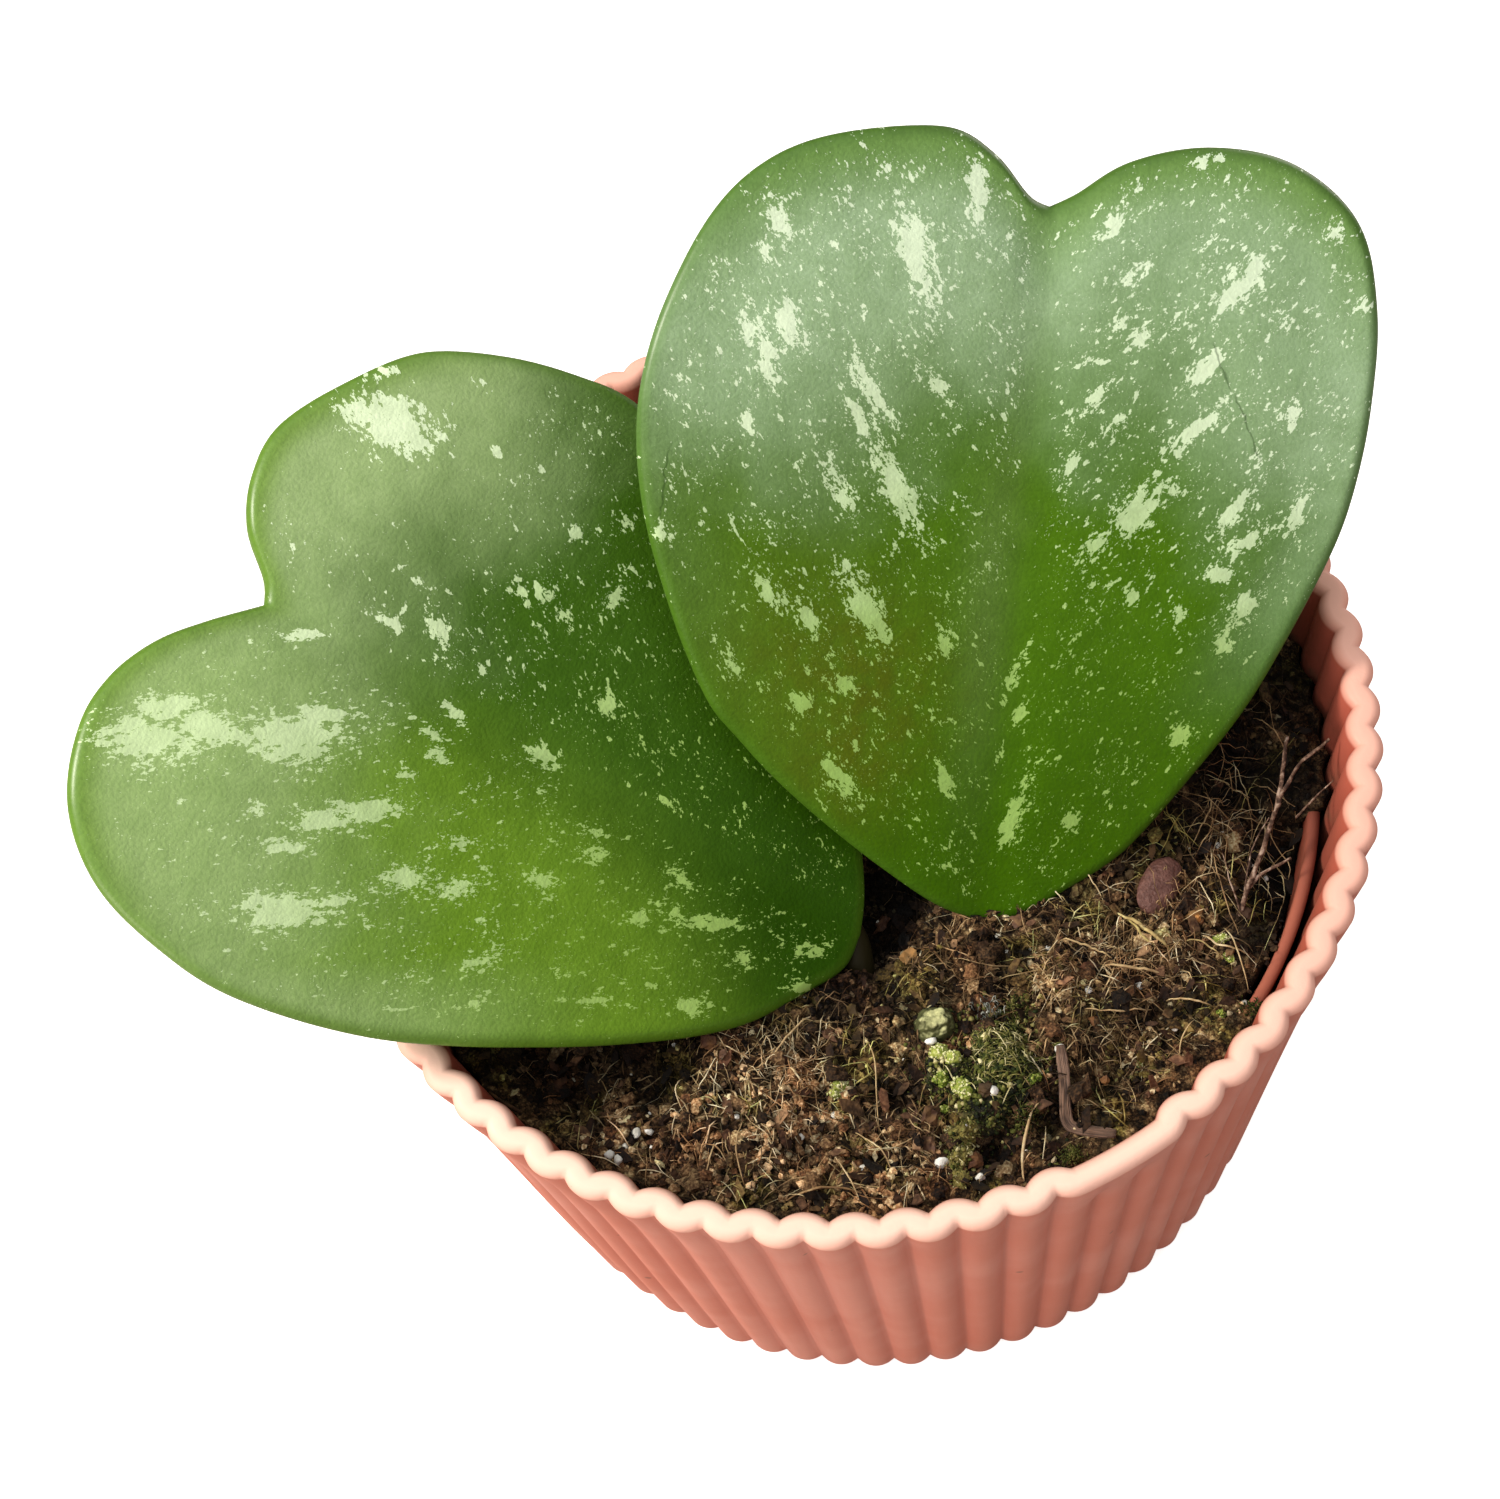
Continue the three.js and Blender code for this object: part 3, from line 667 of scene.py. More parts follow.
# Outlines run up the right side from the stalk to the notch, then down the left side.
# A patch is x, y, half width, half length and lean in degrees.
leaves = Values(
    leafRight=Values(
        node="leaf_right",
        foot=(13.4, -20.4, 61), heading=-17, pitch=42.5, roll=17,
        fold=0.022, cup=1.55, midrib=(-3.4, 40, 76),
        rightSide=[
            (0, -1), (3.4, -0.2), (7.6, 2.6), (14.6, 8.2), (21, 17), (26.7, 26.3), (31.4, 37.5), (34.3, 46.5),
            (35.4, 57), (34.8, 68), (31.8, 76.9), (24.9, 82.1), (16.2, 83.3), (7.8, 81.3), (2.6, 77.8),
            (0, 76.4)],
        leftSide=[
            (0, 76.4), (-2.3, 77.4), (-6.2, 81.3), (-11.4, 83.6), (-21, 82.5), (-29.1, 79.4), (-35.1, 73.2),
            (-39.6, 63.1), (-41.4, 52.8), (-39.4, 40.5), (-33.4, 25.2), (-28.7, 19.2), (-21.8, 12.6),
            (-12.9, 5.8), (-5.8, 1.2), (0, -1)],
        stalk=[(0, 6, -1), (0, 0.5, -1.6)], stalkDown=[(0.5, -4.5, -7), (1.2, -6.5, -15)],
        stalkRadii=(1.4, 2.4, 2.1, 2.0),
        patches=[
            (-14, 71, 1.3, 4.2, -20), (-8, 77.5, 0.9, 2.6, -12), (-28, 73.5, 0.9, 1.6, -25),
            (-29.3, 70.3, 0.5, 1, 0), (-26.7, 63.5, 1.2, 2.3, -30), (-28.6, 60.3, 0.9, 2.6, -20),
            (-30.2, 62.3, 1, 1.2, -60), (-17.5, 56.9, 0.8, 3.6, -35), (-18.5, 54, 0.6, 2.6, -30),
            (-14, 47.2, 1.2, 4.8, -33), (-20, 46.7, 0.8, 2.2, -30), (-11, 58, 0.7, 1.8, -50),
            (-16.2, 34.2, 1.4, 3.8, -32), (-22.5, 33, 0.8, 1.9, -45), (-26.7, 35.5, 0.7, 1.6, -35),
            (-22.3, 23.8, 1.1, 1.1, 0), (-18.2, 25.9, 0.7, 1.3, -70), (-17.8, 15.7, 0.9, 2.3, -35),
            (-6.3, 16, 0.7, 2, -25), (-29.9, 27.3, 0.6, 0.8, -40), (-7.5, 30.7, 0.8, 1.3, -20),
            (1.6, 11.6, 0.8, 3.6, 15), (0.3, 27.5, 0.5, 2.3, 15), (1.1, 23, 0.5, 1.4, 20),
            (-0.3, 18.7, 0.4, 1.2, 0), (19.6, 69.5, 1.1, 4.1, 40), (17.3, 61.4, 1, 1.9, 45),
            (16.8, 54.8, 0.9, 2.9, 45), (11.6, 45.9, 1.4, 3.3, 42), (7.3, 42, 0.8, 1.6, 35),
            (21.8, 46.5, 0.7, 2.6, 38), (24, 43.7, 0.8, 1.8, 60), (24.3, 36.5, 1, 2, 30),
            (20.8, 39.8, 0.8, 1.3, 75), (22.5, 32.5, 0.8, 0.8, 0), (28.8, 47, 0.8, 2, 10),
            (6.2, 57.5, 0.7, 1.8, 35), (8.6, 55.2, 0.5, 1.1, 50), (6.3, 75.3, 0.5, 1.3, 35),
            (9.4, 70.6, 0.5, 1.5, 50), (9.8, 63.5, 0.6, 1.5, 30), (15, 81.7, 0.5, 1.4, 75),
            (29.3, 75.6, 0.7, 0.8, 0), (33, 68.4, 0.8, 0.8, 0), (19, 21.5, 1, 1.6, 20), (8, 11.7, 0.9, 1.2, 0),
            (4.3, 50.3, 0.6, 1.3, 20), (26.7, 57.3, 0.8, 0.8, 0), (-38.4, 41.5, 0.6, 1, -30),
            (23.8, 52.5, 0.7, 1.2, 30), (12, 36.9, 0.6, 0.7, 0), (17.3, 35.4, 0.6, 0.8, 0),
            (-30.2, 53.3, 0.5, 0.9, -20), (8.2, 65.3, 0.5, 1, 50)],
        stains=[(-14, 26, 9, 0.42), (-23, 30, 9, 0.3), (-17, 16, 7, 0.35)],
        scratches=[((22.2, 55.5), -27, 9.0), ((18.8, 61.4), -27, 6.5), ((-38.3, 46.5), 4, 8.5)],
        look=Values(
            deep="#3d6402", mid="#4a720c", leftHalf="#4e7216", sideFrom=2.0, sideTo=-26.0,
            sage="#a4c197", sheen=0.95, sheenFrom=50.0, sheenTo=81.0, flareLeft=0.25,
            flareRight=0.42, sheenRight=0.76, sheenLeft=0.97,
            edgeLeft=0.1, edgeRight=0.55, valleyX=0.0,
            valleyShare=0.93, margin="#628c2a", brim="#44691a", rib="#84a35a", ribShare=0.3,
            bareLobe=0.0, topBand=10.0, spareLow=-0.006, spareHigh=-0.016,
            stain="#5f5c0c", fleck="#e9fbd9", fleckLow="#9cc066", fleckSide=0.0, under="#8ba65a",
            stalk="#34301a", stalkDark="#19130b"),
    ),
    leafLeft=Values(
        node="leaf_left",
        foot=(-0.8, -20.7, 61), heading=62.5, pitch=32, roll=-10.5,
        fold=0.05, cup=0.45, midrib=(0, 30, 60),
        rightSide=[
            (0, -0.3), (3.8, 1.3), (9, 4.4), (17, 10), (24.5, 18.5), (31, 29), (36.5, 40), (39.2, 50),
            (38.5, 57), (36.3, 64.4), (32, 72.4), (25.2, 77.7), (17.5, 81.6), (11.3, 81.4), (6.2, 79.2),
            (2.3, 75.1), (0, 73.8)],
        leftSide=[
            (0, 73.8), (-4.6, 78.1), (-9, 81.5), (-14.4, 83.6), (-20.2, 83.6), (-27.9, 80.5), (-33.4, 74.4),
            (-36.2, 66.3), (-37.1, 57), (-34.8, 44.2), (-30.6, 33.5), (-23.3, 19.5), (-16, 8.8), (-8.6, 2.8),
            (-4, -0.1), (0, -0.3)],
        stalk=[(0, 6, -1), (0, 0.8, -1.3)], stalkDown=[(-0.4, -3.2, -3.8), (-0.3, -4.6, -12)],
        stalkRadii=(1.2, 1.8, 1.7, 1.6),
        patches=[
            (-18.2, 77, 2.2, 4.8, -28), (-14.9, 77.5, 1.3, 3.8, -32), (-14.4, 72.3, 1.3, 3.9, -25),
            (-11.2, 64.6, 2.5, 5.6, -33), (-7.5, 63, 0.9, 3, -30), (-27.2, 57.2, 1.7, 4.4, -25),
            (-24, 53, 0.6, 1.4, -40), (-21.5, 59.8, 0.8, 1.8, -20), (-17.5, 58, 1, 2.6, -25),
            (-14.2, 54.8, 1.3, 3.1, -28), (-5.5, 50.9, 0.7, 1.1, 0), (-9, 52.5, 0.4, 0.8, -30),
            (-3.8, 52.3, 0.4, 0.8, 0), (-18.6, 47.8, 1, 2.1, -28), (-17, 42.5, 0.9, 1.9, -40),
            (-12.5, 44.5, 0.5, 1.5, -25), (-22.6, 37.2, 0.7, 1.3, -40), (-20.2, 35.5, 0.5, 1, -40),
            (-26.4, 35.5, 0.5, 0.6, 0), (-11.8, 35, 0.7, 1.6, -30), (-13.2, 33.4, 0.5, 0.9, -30),
            (-4.7, 32.8, 0.4, 0.9, 0), (-6.6, 30.7, 0.7, 1.2, -25), (-4.4, 21.5, 0.6, 1.6, 0),
            (-8, 20.5, 0.5, 1.2, -20), (-7.2, 16.4, 0.8, 3.2, -25), (-10.5, 23.7, 0.6, 0.9, -30),
            (-20.5, 24, 0.4, 1.2, -25), (-16.3, 14.3, 0.8, 1.4, -30), (-9, 11.5, 0.6, 1, -30),
            (-8.8, 4.3, 0.7, 1.5, -50), (-4.5, 4.3, 0.5, 1.2, -30), (23.2, 71.8, 2.9, 5.0, -12),
            (27.5, 75, 0.8, 1.8, -55), (6.3, 57, 1, 2, 30), (4.4, 62, 0.4, 1.4, 0), (9.5, 61.3, 0.35, 1.1, 0),
            (26.1, 60.6, 0.6, 0.6, 0), (31.9, 65.5, 0.4, 0.8, 0), (14.2, 51.5, 0.5, 0.9, 20),
            (15.3, 49.5, 0.6, 0.8, 30), (14.3, 46.2, 0.8, 0.9, 40), (18.5, 42.2, 1.1, 1, 0),
            (22.8, 49.3, 0.6, 0.6, 0), (26.5, 44.8, 0.4, 0.7, 0), (0, 41, 1, 2, 0), (8.2, 37.3, 0.7, 0.8, 0),
            (2.2, 26.3, 0.4, 1.2, 10), (-0.5, 51.7, 0.6, 1.2, 0), (4.9, 51, 0.4, 0.6, 0),
            (-1, 68.8, 0.5, 1.8, -30), (-19.8, 64.5, 0.5, 1, -40)],
        stains=[],
        scratches=[],
        look=Values(
            deep="#2c5002", mid="#406514", leftHalf="#6e9427", sideFrom=6.0, sideTo=-13.0,
            sage="#a4be80", sheen=0.84, sheenFrom=53.0, sheenTo=80.0, flareLeft=0.24,
            flareRight=0.17, sheenRight=1.0, sheenLeft=0.8,
            edgeLeft=0.66, edgeRight=0.0, valleyX=2.0,
            valleyShare=0.8, margin="#6d922c", brim="#557a20", rib="#5f8428", ribShare=0.22,
            bareLobe=0.05, topBand=4.5, spareLow=-0.004, spareHigh=0.018,
            stain="#63620f", fleck="#e6f9d0", fleckLow="#a6c96b", fleckSide=0.4, under="#8ba65a",
            stalk="#34301a", stalkDark="#19130b"),
    ),
)


def bladeLift(leaf, x, y):
    out = abs(x) / blade.halfWidth
    tip = clamp((y - blade.curlFrom) / (blade.curlTo - blade.curlFrom), 0, 1.2)
    groove = blade.groove * exp(-((x / blade.grooveWidth) ** 2))
    return leaf.fold * abs(x) + leaf.cup * out ** 1.5 - groove - blade.curl * tip ** 2


def bladeHalf(inset):
    curve = min(inset / blade.edgeReach, 1)
    edge = blade.edgeHalf * sqrt(1 - (1 - curve) ** 2)
    return edge + (blade.midHalf - blade.edgeHalf) * ease(inset, 1, 16)


def bladeRib(x, y):
    return blade.rib * exp(-((x / blade.ribWidth) ** 2)) * clamp(1 - y / blade.ribEnd) ** 0.6


def patchStrength(leaf, x, y):
    # 1 at a patch's middle, 0 at its edge, and less than 0 outside
    best = -2.0
    for px, py, halfWide, halfLong, lean in leaf.patches:
        a = radians(lean)
        dx, dy = x - px, y - py
        across = (dx * cos(a) - dy * sin(a)) / halfWide
        along = (dx * sin(a) + dy * cos(a)) / halfLong
        best = max(best, (1 - hypot(across, along)) * clamp(0.45 + 0.55 * halfWide, 0.5, 1.1))
    return best


def leafLook(leaf):
    look = leaf.look
    place = fieldOf("bladePlace", "Vector")
    x, y, _ = axes(place)
    fromMargin = fieldOf("fromMargin")
    cloud, mottle, fine = [grain(place, size, detail, 0.3, 0.7)
                           for size, detail in ((17, 3), (2.6, 6), (0.42, 4))]

    # Green: deep by the stalk, paler to the left as painted light on the lit half, sage on the lobes as the
    # leaf's own silvery tint and a painted sheen, deep again along the top edge as painted shade
    colour = mixColours(y.eased(4, 50), look.deep, look.mid)
    side = x.eased(look.sideFrom, look.sideTo)
    # Painted light: the half toward the lamp is mixed paler
    colour = mixColours(side * (y - x * 1.1).eased(12, 46), colour, look.leftHalf)
    # Painted sheen: the lobes turn pale sage, partly the leaf's silvery tint and partly a painted reflection of
    # the sky, less in the valley
    off = x - look.valleyX
    lift = y + abs(off) * off.eased(-2, 2, look.flareLeft, look.flareRight) + cloud * 9
    lobeSheen = lift.eased(look.sheenFrom, look.sheenTo)
    silverSheen = lobeSheen * abs(off).eased(0, 10, look.valleyShare) * look.sheen
    silverSheen *= off.eased(0, 9, 1, fromMargin.eased(5, 10, 1, look.sheenRight))
    silverSheen *= off.eased(-9, 0, look.sheenLeft)
    # Painted sheen: a pale band inside the side margins, where the curved edge reflects the sky
    edge = fromMargin.eased(11, 2) * y.eased(20, 50) * off.eased(-2, 2, look.edgeLeft, look.edgeRight)
    colour = mixColours(larger(silverSheen, edge), colour, look.sage)
    # Painted shade: along the top edge, which curls away from the sky, the sheen gives way to darker green
    colour = mixColours(fromMargin.eased(look.topBand, 1) * y.eased(58, 80) * 0.85, colour, look.margin)
    # A paler band along the midrib, partly its own colour and partly a painted sheen
    colour = mixColours(fieldOf("ribBandSheen") * look.ribShare, colour, look.rib)
    colour = mixColours(fieldOf("stain") * (mottle * 0.65 + 0.35), colour, look.stain)
    colour = mixColours(fromMargin.eased(2, 0.2, 0, 0.75), colour, look.brim)
    dark = mixColours(1, colour, (0.5, 0.6, 0.38, 1), "MULTIPLY")
    colour = mixColours((mottle * 0.5 + fine * 0.5) * 0.46, colour, dark)

    # Splash: large placed patches with ragged edges and holes, then flecks of three sizes in clumps
    field = fieldOf("splashField")
    thin = fromMargin.eased(3.5, 0.5, 0, 0.05) + grain(place, 5, 3) * 0.05
    thin -= field.eased(-1.4, -0.2) * 0.045
    thin += abs(x).eased(2.5, 0.3, 0, 0.06)
    thin += y.eased(40, 72, look.spareLow, look.spareHigh)
    thin += x.eased(8, 16) * y.eased(56, 64) * look.bareLobe
    ragged, holes, crumbly = [streaks(place, Across=across, Along=along, Detail=detail).Value
                              for across, along, detail in ((0.95, 2, 3), (0.34, 0.6, 4), (0.15, 0.2, 2))]
    marks = (ragged * 1.9 + holes * 1.15 + crumbly * 0.4 + field * 0.6).eased(1.765, 1.8)
    for across, along, level in ((0.8, 1.5, 0.624), (0.42, 0.7, 0.628), (0.2, 0.28, 0.66)):
        low, high = thin + level, thin + (level + 0.015)
        marks = larger(marks, streaks(place, Across=across, Along=along, Detail=4, Low=low, High=high).Mask)
    # Painted sheen: the flecks grow paler where the lobes' painted sheen rises
    pale = mixColours(lift.eased(30, look.sheenTo), look.fleckLow, look.fleck)
    pale = mixColours(side * look.fleckSide, pale, look.fleckLow)
    pale = mixColours(mottle * 0.2, pale, colour)
    colour = mixColours(marks * 0.9, colour, pale)
    for middle, lean, length in leaf.scratches:
        cut = scratch(place, (*middle, 0), radians(lean), length, 0.2)
        colour = mixColours(cut * 0.6, colour, "#2f4a1c")
    under = mixColours(mottle * 0.4, look.under, look.mid)
    under = mixColours(marks * 0.25, under, look.fleck)
    colour = mixColours(fieldOf("underside"), colour, under)
    colour = mixColours(fieldOf("stalk"), colour, mixColours(mottle, look.stalk, look.stalkDark))
    return {"Base Color": colour, "Roughness": mottle * 0.1 + 0.34, "Specular IOR Level": 0.06,
            "Coat Weight": lobeSheen * 0.6 + 0.03, "Coat Roughness": 0.34, "Coat IOR": 1.45,
            "Normal": bump(fine * 0.6 + mottle, 0.4, 0.1)}


def makeLeaf(name, leaf):
    turn = Matrix.Translation(leaf.foot)
    for axis, angle in (("Z", leaf.heading), ("X", leaf.pitch), ("Y", leaf.roll)):
        turn @= Matrix.Rotation(radians(angle), 4, axis)
    centreY, half = blade.centreY, blade.outlineSteps // 2
    outline = np.vstack([smoothLine(side, half + 1)[:-1] for side in (leaf.rightSide, leaf.leftSide)])
    waver = [1 + 0.003 * noiseAt(x / 9, y / 9, 3) for x, y in outline]
    outline = np.array([(x * w, centreY + (y - centreY) * w) for (x, y), w in zip(outline, waver)])
    reach = np.hypot(outline[:, 0], outline[:, 1] - centreY)
    curved = [blade.edgeReach * (1 - cos(pi / 2 * k / 7)) for k in range(1, 8)]
    ribX, ribFrom, ribTo = leaf.midrib
    rings = []
    rows = [((0, centreY, 0), 44, 1, -1.5, 0, 0, 0)]

    def addRing(inset, side):
        # Near the middle, a ring closes in evenly, so that no ring crosses the centre
        ring = np.zeros((len(outline), 3))
        for k, (ox, oy) in enumerate(outline):
            deep = inset / 44 * reach[k] if inset > 8 else mix(inset, inset / 44 * reach[k], inset / 8)
            share = 1 - deep / reach[k]
            px, py = ox * share, centreY + (oy - centreY) * share
            rib = bladeRib(px, py) if side < 0 else 0
            ripple = lumpy(px, py, 9, blade.ripple, 5) + lumpy(px, py, 3.5, blade.ripple / 4, 8)
            height = bladeLift(leaf, px, py) + side * (bladeHalf(inset) + rib) + ripple * min(inset / 3, 1)
            ring[k] = turn @ Vector((px, py, height))
            splash = patchStrength(leaf, px, py) if side > 0 else -1.5
            stain = sum(w * exp(-((px - sx) ** 2 + (py - sy) ** 2) / r ** 2) for sx, sy, r, w in leaf.stains)
            middle = mix(ribX, 0, ease(py, ribFrom, ribTo))
            band = exp(-(((px - middle) / 2.8) ** 2)) * (1 - ease(py, 40, 72)) * ease(py, 4, 40)
            rows.append(((px, py, 0), deep, side < 0, splash, clamp(stain, 0, 0.8), band, 0))
        rings.append(ring)

    for inset in reversed([*curved, *np.linspace(2.6, 41, 20)]):
        addRing(inset, -1)
    for inset in [0, *curved, *np.linspace(2.2, 41, 54)]:
        addRing(inset, 1)
    middle, thick = bladeLift(leaf, 0, centreY), bladeHalf(centreY)
    low = turn @ Vector((0, centreY, middle - thick - bladeRib(0, centreY)))
    points, faces = ringSkin(rings, low, turn @ Vector((0, centreY, middle + thick)))
    rows.append(((0, centreY, 0), 44, 0, patchStrength(leaf, 0, centreY), 0, 0.5, 0))
    stalk = [tuple(turn @ Vector(p)) for p in leaf.stalk]
    stalk += [tuple(Vector(leaf.foot) + Vector(p)) for p in leaf.stalkDown]
    radii = np.interp(np.linspace(0, 3, 24), range(4), leaf.stalkRadii)
    stalkPoints, stalkFaces = tube(smoothLine(stalk, 24), radii, 20)
    faces += [tuple(index + len(points) for index in face) for face in stalkFaces]
    rows += [((0, 2, 0), 4, 0, -1.5, 0, 0, 1)] * len(stalkPoints)
    names = ("bladePlace", "fromMargin", "underside", "splashField", "stain", "ribBandSheen", "stalk")
    makePiece(name, np.vstack([points, stalkPoints]), faces, newMaterial(name + "Wax", leafLook, leaf),
              [leaf.node], dict(zip(names, zip(*rows))))


for leafName, leafValues in leaves.items():
    makeLeaf(leafName, leafValues)
print("leaves made")


# Soil

soil = Values(
    level=61.0, rings=118, sectors=620,
    forms=[  # centre x and y, radius, rise
        (47, 2, 15, 3.2), (20, -29.5, 4.5, 2.4), (12, -40, 6, 1.0), (-13.5, -36.5, 9, 1.4), (12, -24, 6, 1.4),
        (0.5, -20, 6, -4.2), (4, -16, 6, -3), (47.8, -18.7, 6.5, -7), (-36, -31, 9, -2.4), (43, -8, 5, -2.5),
        (10.2, -47.6, 2.8, -2.6), (-27, 30, 14, 1.5), (5.2, -26, 2.8, 2.0), (-20, -36, 5, 1.2),
        (-34, -36, 3, -2.0), (-25, -35.5, 2.4, -1.8), (24.5, -41, 3, -1.4), (-9, -44.5, 2.0, -1.4),
        (-14, -50, 2.4, -1.2), (16.2, -46, 1.6, -1.6), (29, -41, 3, -1.0), (1, -40, 2, -1.2)],
    lumps=[(6.0, 1.0, 0), (2.7, 0.9, 0), (1.5, 1.1, 1), (0.95, 0.6, 1)],  # size, height, rounded
    # Painted shade: dark spots where shadow falls under and between the leaves and in hollows
    damp=[  # dark hollows: x, y, radius, strength
        (48, -18.5, 6.0, 0.97), (46, -23.5, 4.5, 0.95), (43.7, -6.8, 7, 0.96), (52, 0, 8, 0.85),
        (49, -10, 6, 0.95), (0.5, -20, 6.5, 0.93), (4, -15, 6, 0.95), (-1.6, -24.6, 3.4, 0.85),
        (-36, -28.5, 8.0, 0.75), (-29, -28.5, 6, 0.8), (-45, -23, 8, 0.85), (10.2, -47.6, 3.0, 0.9),
        (24.5, -41, 3, 0.55), (-25, -35.5, 2.6, 0.8), (-9, -44.5, 2.3, 0.6), (-14, -50, 2.6, 0.55),
        (16.4, -46, 1.8, 0.8), (-9, -31, 4, 0.45), (1, -40.2, 1.9, 0.8), (3.0, -30.8, 1.6, 0.6),
        (9.6, -32.5, 1.7, 0.7), (-4, -28, 3.4, 0.85), (2.2, -29.6, 2.2, 0.7), (13, -27.6, 4, 0.4),
        (18.6, -42.3, 3, 0.65), (15.9, -48.4, 2.2, 0.6), (24, -36.4, 4, 0.5), (29.6, -33.6, 3.4, 0.55),
        (35.6, -28, 2.6, 0.5), (42.4, -27, 4.4, 0.9), (37, -13, 5, 0.75), (-21.9, -46.4, 3, 0.6),
        (-24.7, -41, 2.6, 0.5), (7.5, -30, 2, 0.5)],
    spillFrom=-15.0, spillTo=318.0,
    overRim=61.4, neck=60.4, edgeOver=54.4, edgeWithin=52.3)
crumb = Values(tiny=4700, large=620, least=0.2, middle=0.55, most=1.4, reach=52.8)
# Clusters of crumbs: x, y, spread, count, tone, size, hue
crumbClusters = [
    (20.2, -29.8, 3.2, 330, 0.5, 0.42, 0.38), (5.2, -26.0, 2.6, 190, 0.33, 0.45, 0.1),
    (4.8, -24.1, 1.1, 50, 0.7, 0.4, 0.6), (-8, -44, 7, 260, 0.6, 0.6, 0.7), (-20, -44, 6, 160, 0.5, 0.65, 0.75),
    (-2, -49, 4, 110, 0.7, 0.5, 0.7), (34, -24, 5, 170, 0.55, 0.45, 0.5), (26.7, -39.8, 4, 90, 0.6, 0.45, 0.2),
    (-28.5, -40.5, 4, 130, 0.6, 0.5, 0.5), (-13, -38, 6, 190, 0.55, 0.38, 0.6),
    (30, -34, 5, 120, 0.5, 0.4, 0.4), (-13, -41, 5, 230, 0.82, 0.42, 0.85),
]
flake = Values(count=1500, least=0.35, most=1.7, thick=0.2, reach=52.3)
fibre = Values(
    count=2700, least=1.8, most=9.0, thin=0.028, thick=0.11, reach=51.5, mostOver=53.6, mostWithin=51.6)
# Tangles of fibre: x, y, spread, count, tone
tangles = [
    (20.2, -29.8, 3.4, 190, 0.56), (-13.5, -38.5, 8, 220, 0.74), (-8, -34, 6, 130, 0.66),
    (28, -30.5, 6.5, 240, 0.6), (33, -27, 5, 120, 0.6), (25, -24, 5, 120, 0.55), (-18, -42, 8, 110, 0.6),
    (5, -26, 3, 60, 0.42), (36, -22, 5, 80, 0.5), (-4, -44, 8, 110, 0.6), (24, -38, 5, 130, 0.48),
    (43, -13, 5, 40, 0.45), (-30, -38, 7, 50, 0.55), (2, -46, 6, 70, 0.55), (12, -25, 6, 100, 0.42),
]
# The two lumps that crumbs keep clear of
chip = Values(
    at=(32.9, -20.3), size=(7.7, 4.4, 2.3), turn=56, tilt=12, sink=0.5, colour="#5c3b32",
    pale="#755045", dark="#3f2825", dots="#c9a49a")
crustLump = Values(
    at=(6.0, -32.9), size=(4.6, 3.8, 3.5), turn=15, tilt=0, sink=1.0, colour="#3e3f1b",
    pale="#d3d296", dark="#5a5f28", pits="#4a4a20")
soilLook = Values(
    stops={0: "#100a06", 0.22: "#2e2015", 0.45: "#64492f", 0.7: "#957852", 1: "#d3b987"},
    gap="#080503", hollow="#030201")
# Small pieces: roughness, size of the grain, contrast, bump, and the tones from dark to pale
toneLooks = Values(
    peatCrumb=(
        0.9, 0.3, 0.35, 0.5, {0: "#120c08", 0.28: "#3b2a1b", 0.52: "#735539", 0.78: "#b09166", 1: "#ecdcb0"}),
    peatFlake=(0.8, 0.6, 0.35, 0.5, {0: "#150d08", 0.4: "#3e2a1d", 0.7: "#6c4d38", 1: "#a17e5b"}),
    coirFibre=(
        0.72, 1.4, 0.3, 0.2, {0: "#1a120b", 0.28: "#4f3a26", 0.52: "#93744e", 0.78: "#cbb082", 1: "#f6e9c2"}),
    dryRootBark=(0.85, 0.7, 0.9, 0.9, {0: "#21150f", 0.4: "#4d382c", 0.75: "#7a604f", 1: "#a58f7d"}),
    mossBlade=(
        0.8, 0.8, 0.3, 0.5, {0: "#0d1006", 0.25: "#2a3512", 0.5: "#5d6128", 0.75: "#968c52", 1: "#e0d6a4"}),
    perlite=(0.75, 0.5, 0.3, 0.5, {0: "#8d8672", 0.5: "#cfcbbb", 1: "#f6f4ec"}),
    algae=(0.55, 0.35, 0.3, 0.5, {0: "#26300d", 0.4: "#667a24", 0.7: "#a6ae52", 1: "#e4e2ae"}),
    barkBit=(0.7, 0.9, 0.25, 0.5, {0: "#22160f", 0.45: "#5c4232", 0.7: "#8a6a44", 1: "#ba874c"}),
    mould=(0.8, 0.4, 0.3, 0.5, {0: "#2f332b", 0.6: "#9a9f90", 1: "#f0f2e6"}))


# Painted shade: the listed spots and smaller noise-placed ones, as a share from 0 to 1
def paintedShadeAt(points):
    shade = np.zeros(len(points))
    for x, y, radius, strength in soil.damp:
        apart = ((points[:, 0] - x) ** 2 + (points[:, 1] - y) ** 2) / radius ** 2
        shade = np.maximum(shade, strength * np.exp(-(apart ** 2)))
    spots = np.array([noiseAt(p[0] / 1.9, p[1] / 1.9, 71) for p in points])
    return np.maximum(shade, 0.75 * np.clip((spots - 0.1) / 0.3, 0, 1))


def spillsOver(degrees):
    return soil.spillFrom < (degrees + 360 if degrees < soil.spillFrom else degrees) < soil.spillTo


def spillsAt(x, y):
    return spillsOver(math.degrees(math.atan2(y, x)))


def soilForm(x, y):
    height = soil.level
    for cx, cy, radius, rise in soil.forms:
        height += rise * exp(-((x - cx) ** 2 + (y - cy) ** 2) / radius ** 2)
    return height


def soilHeight(x, y):
    height = soilForm(x, y)
    for k, (size, rise, rounded) in enumerate(soil.lumps):
        lump = lumpy(x, y, size, rise, 4.0 + 9 * k)
        height += 2 * abs(lump) - 0.35 * rise if rounded else lump
    return height


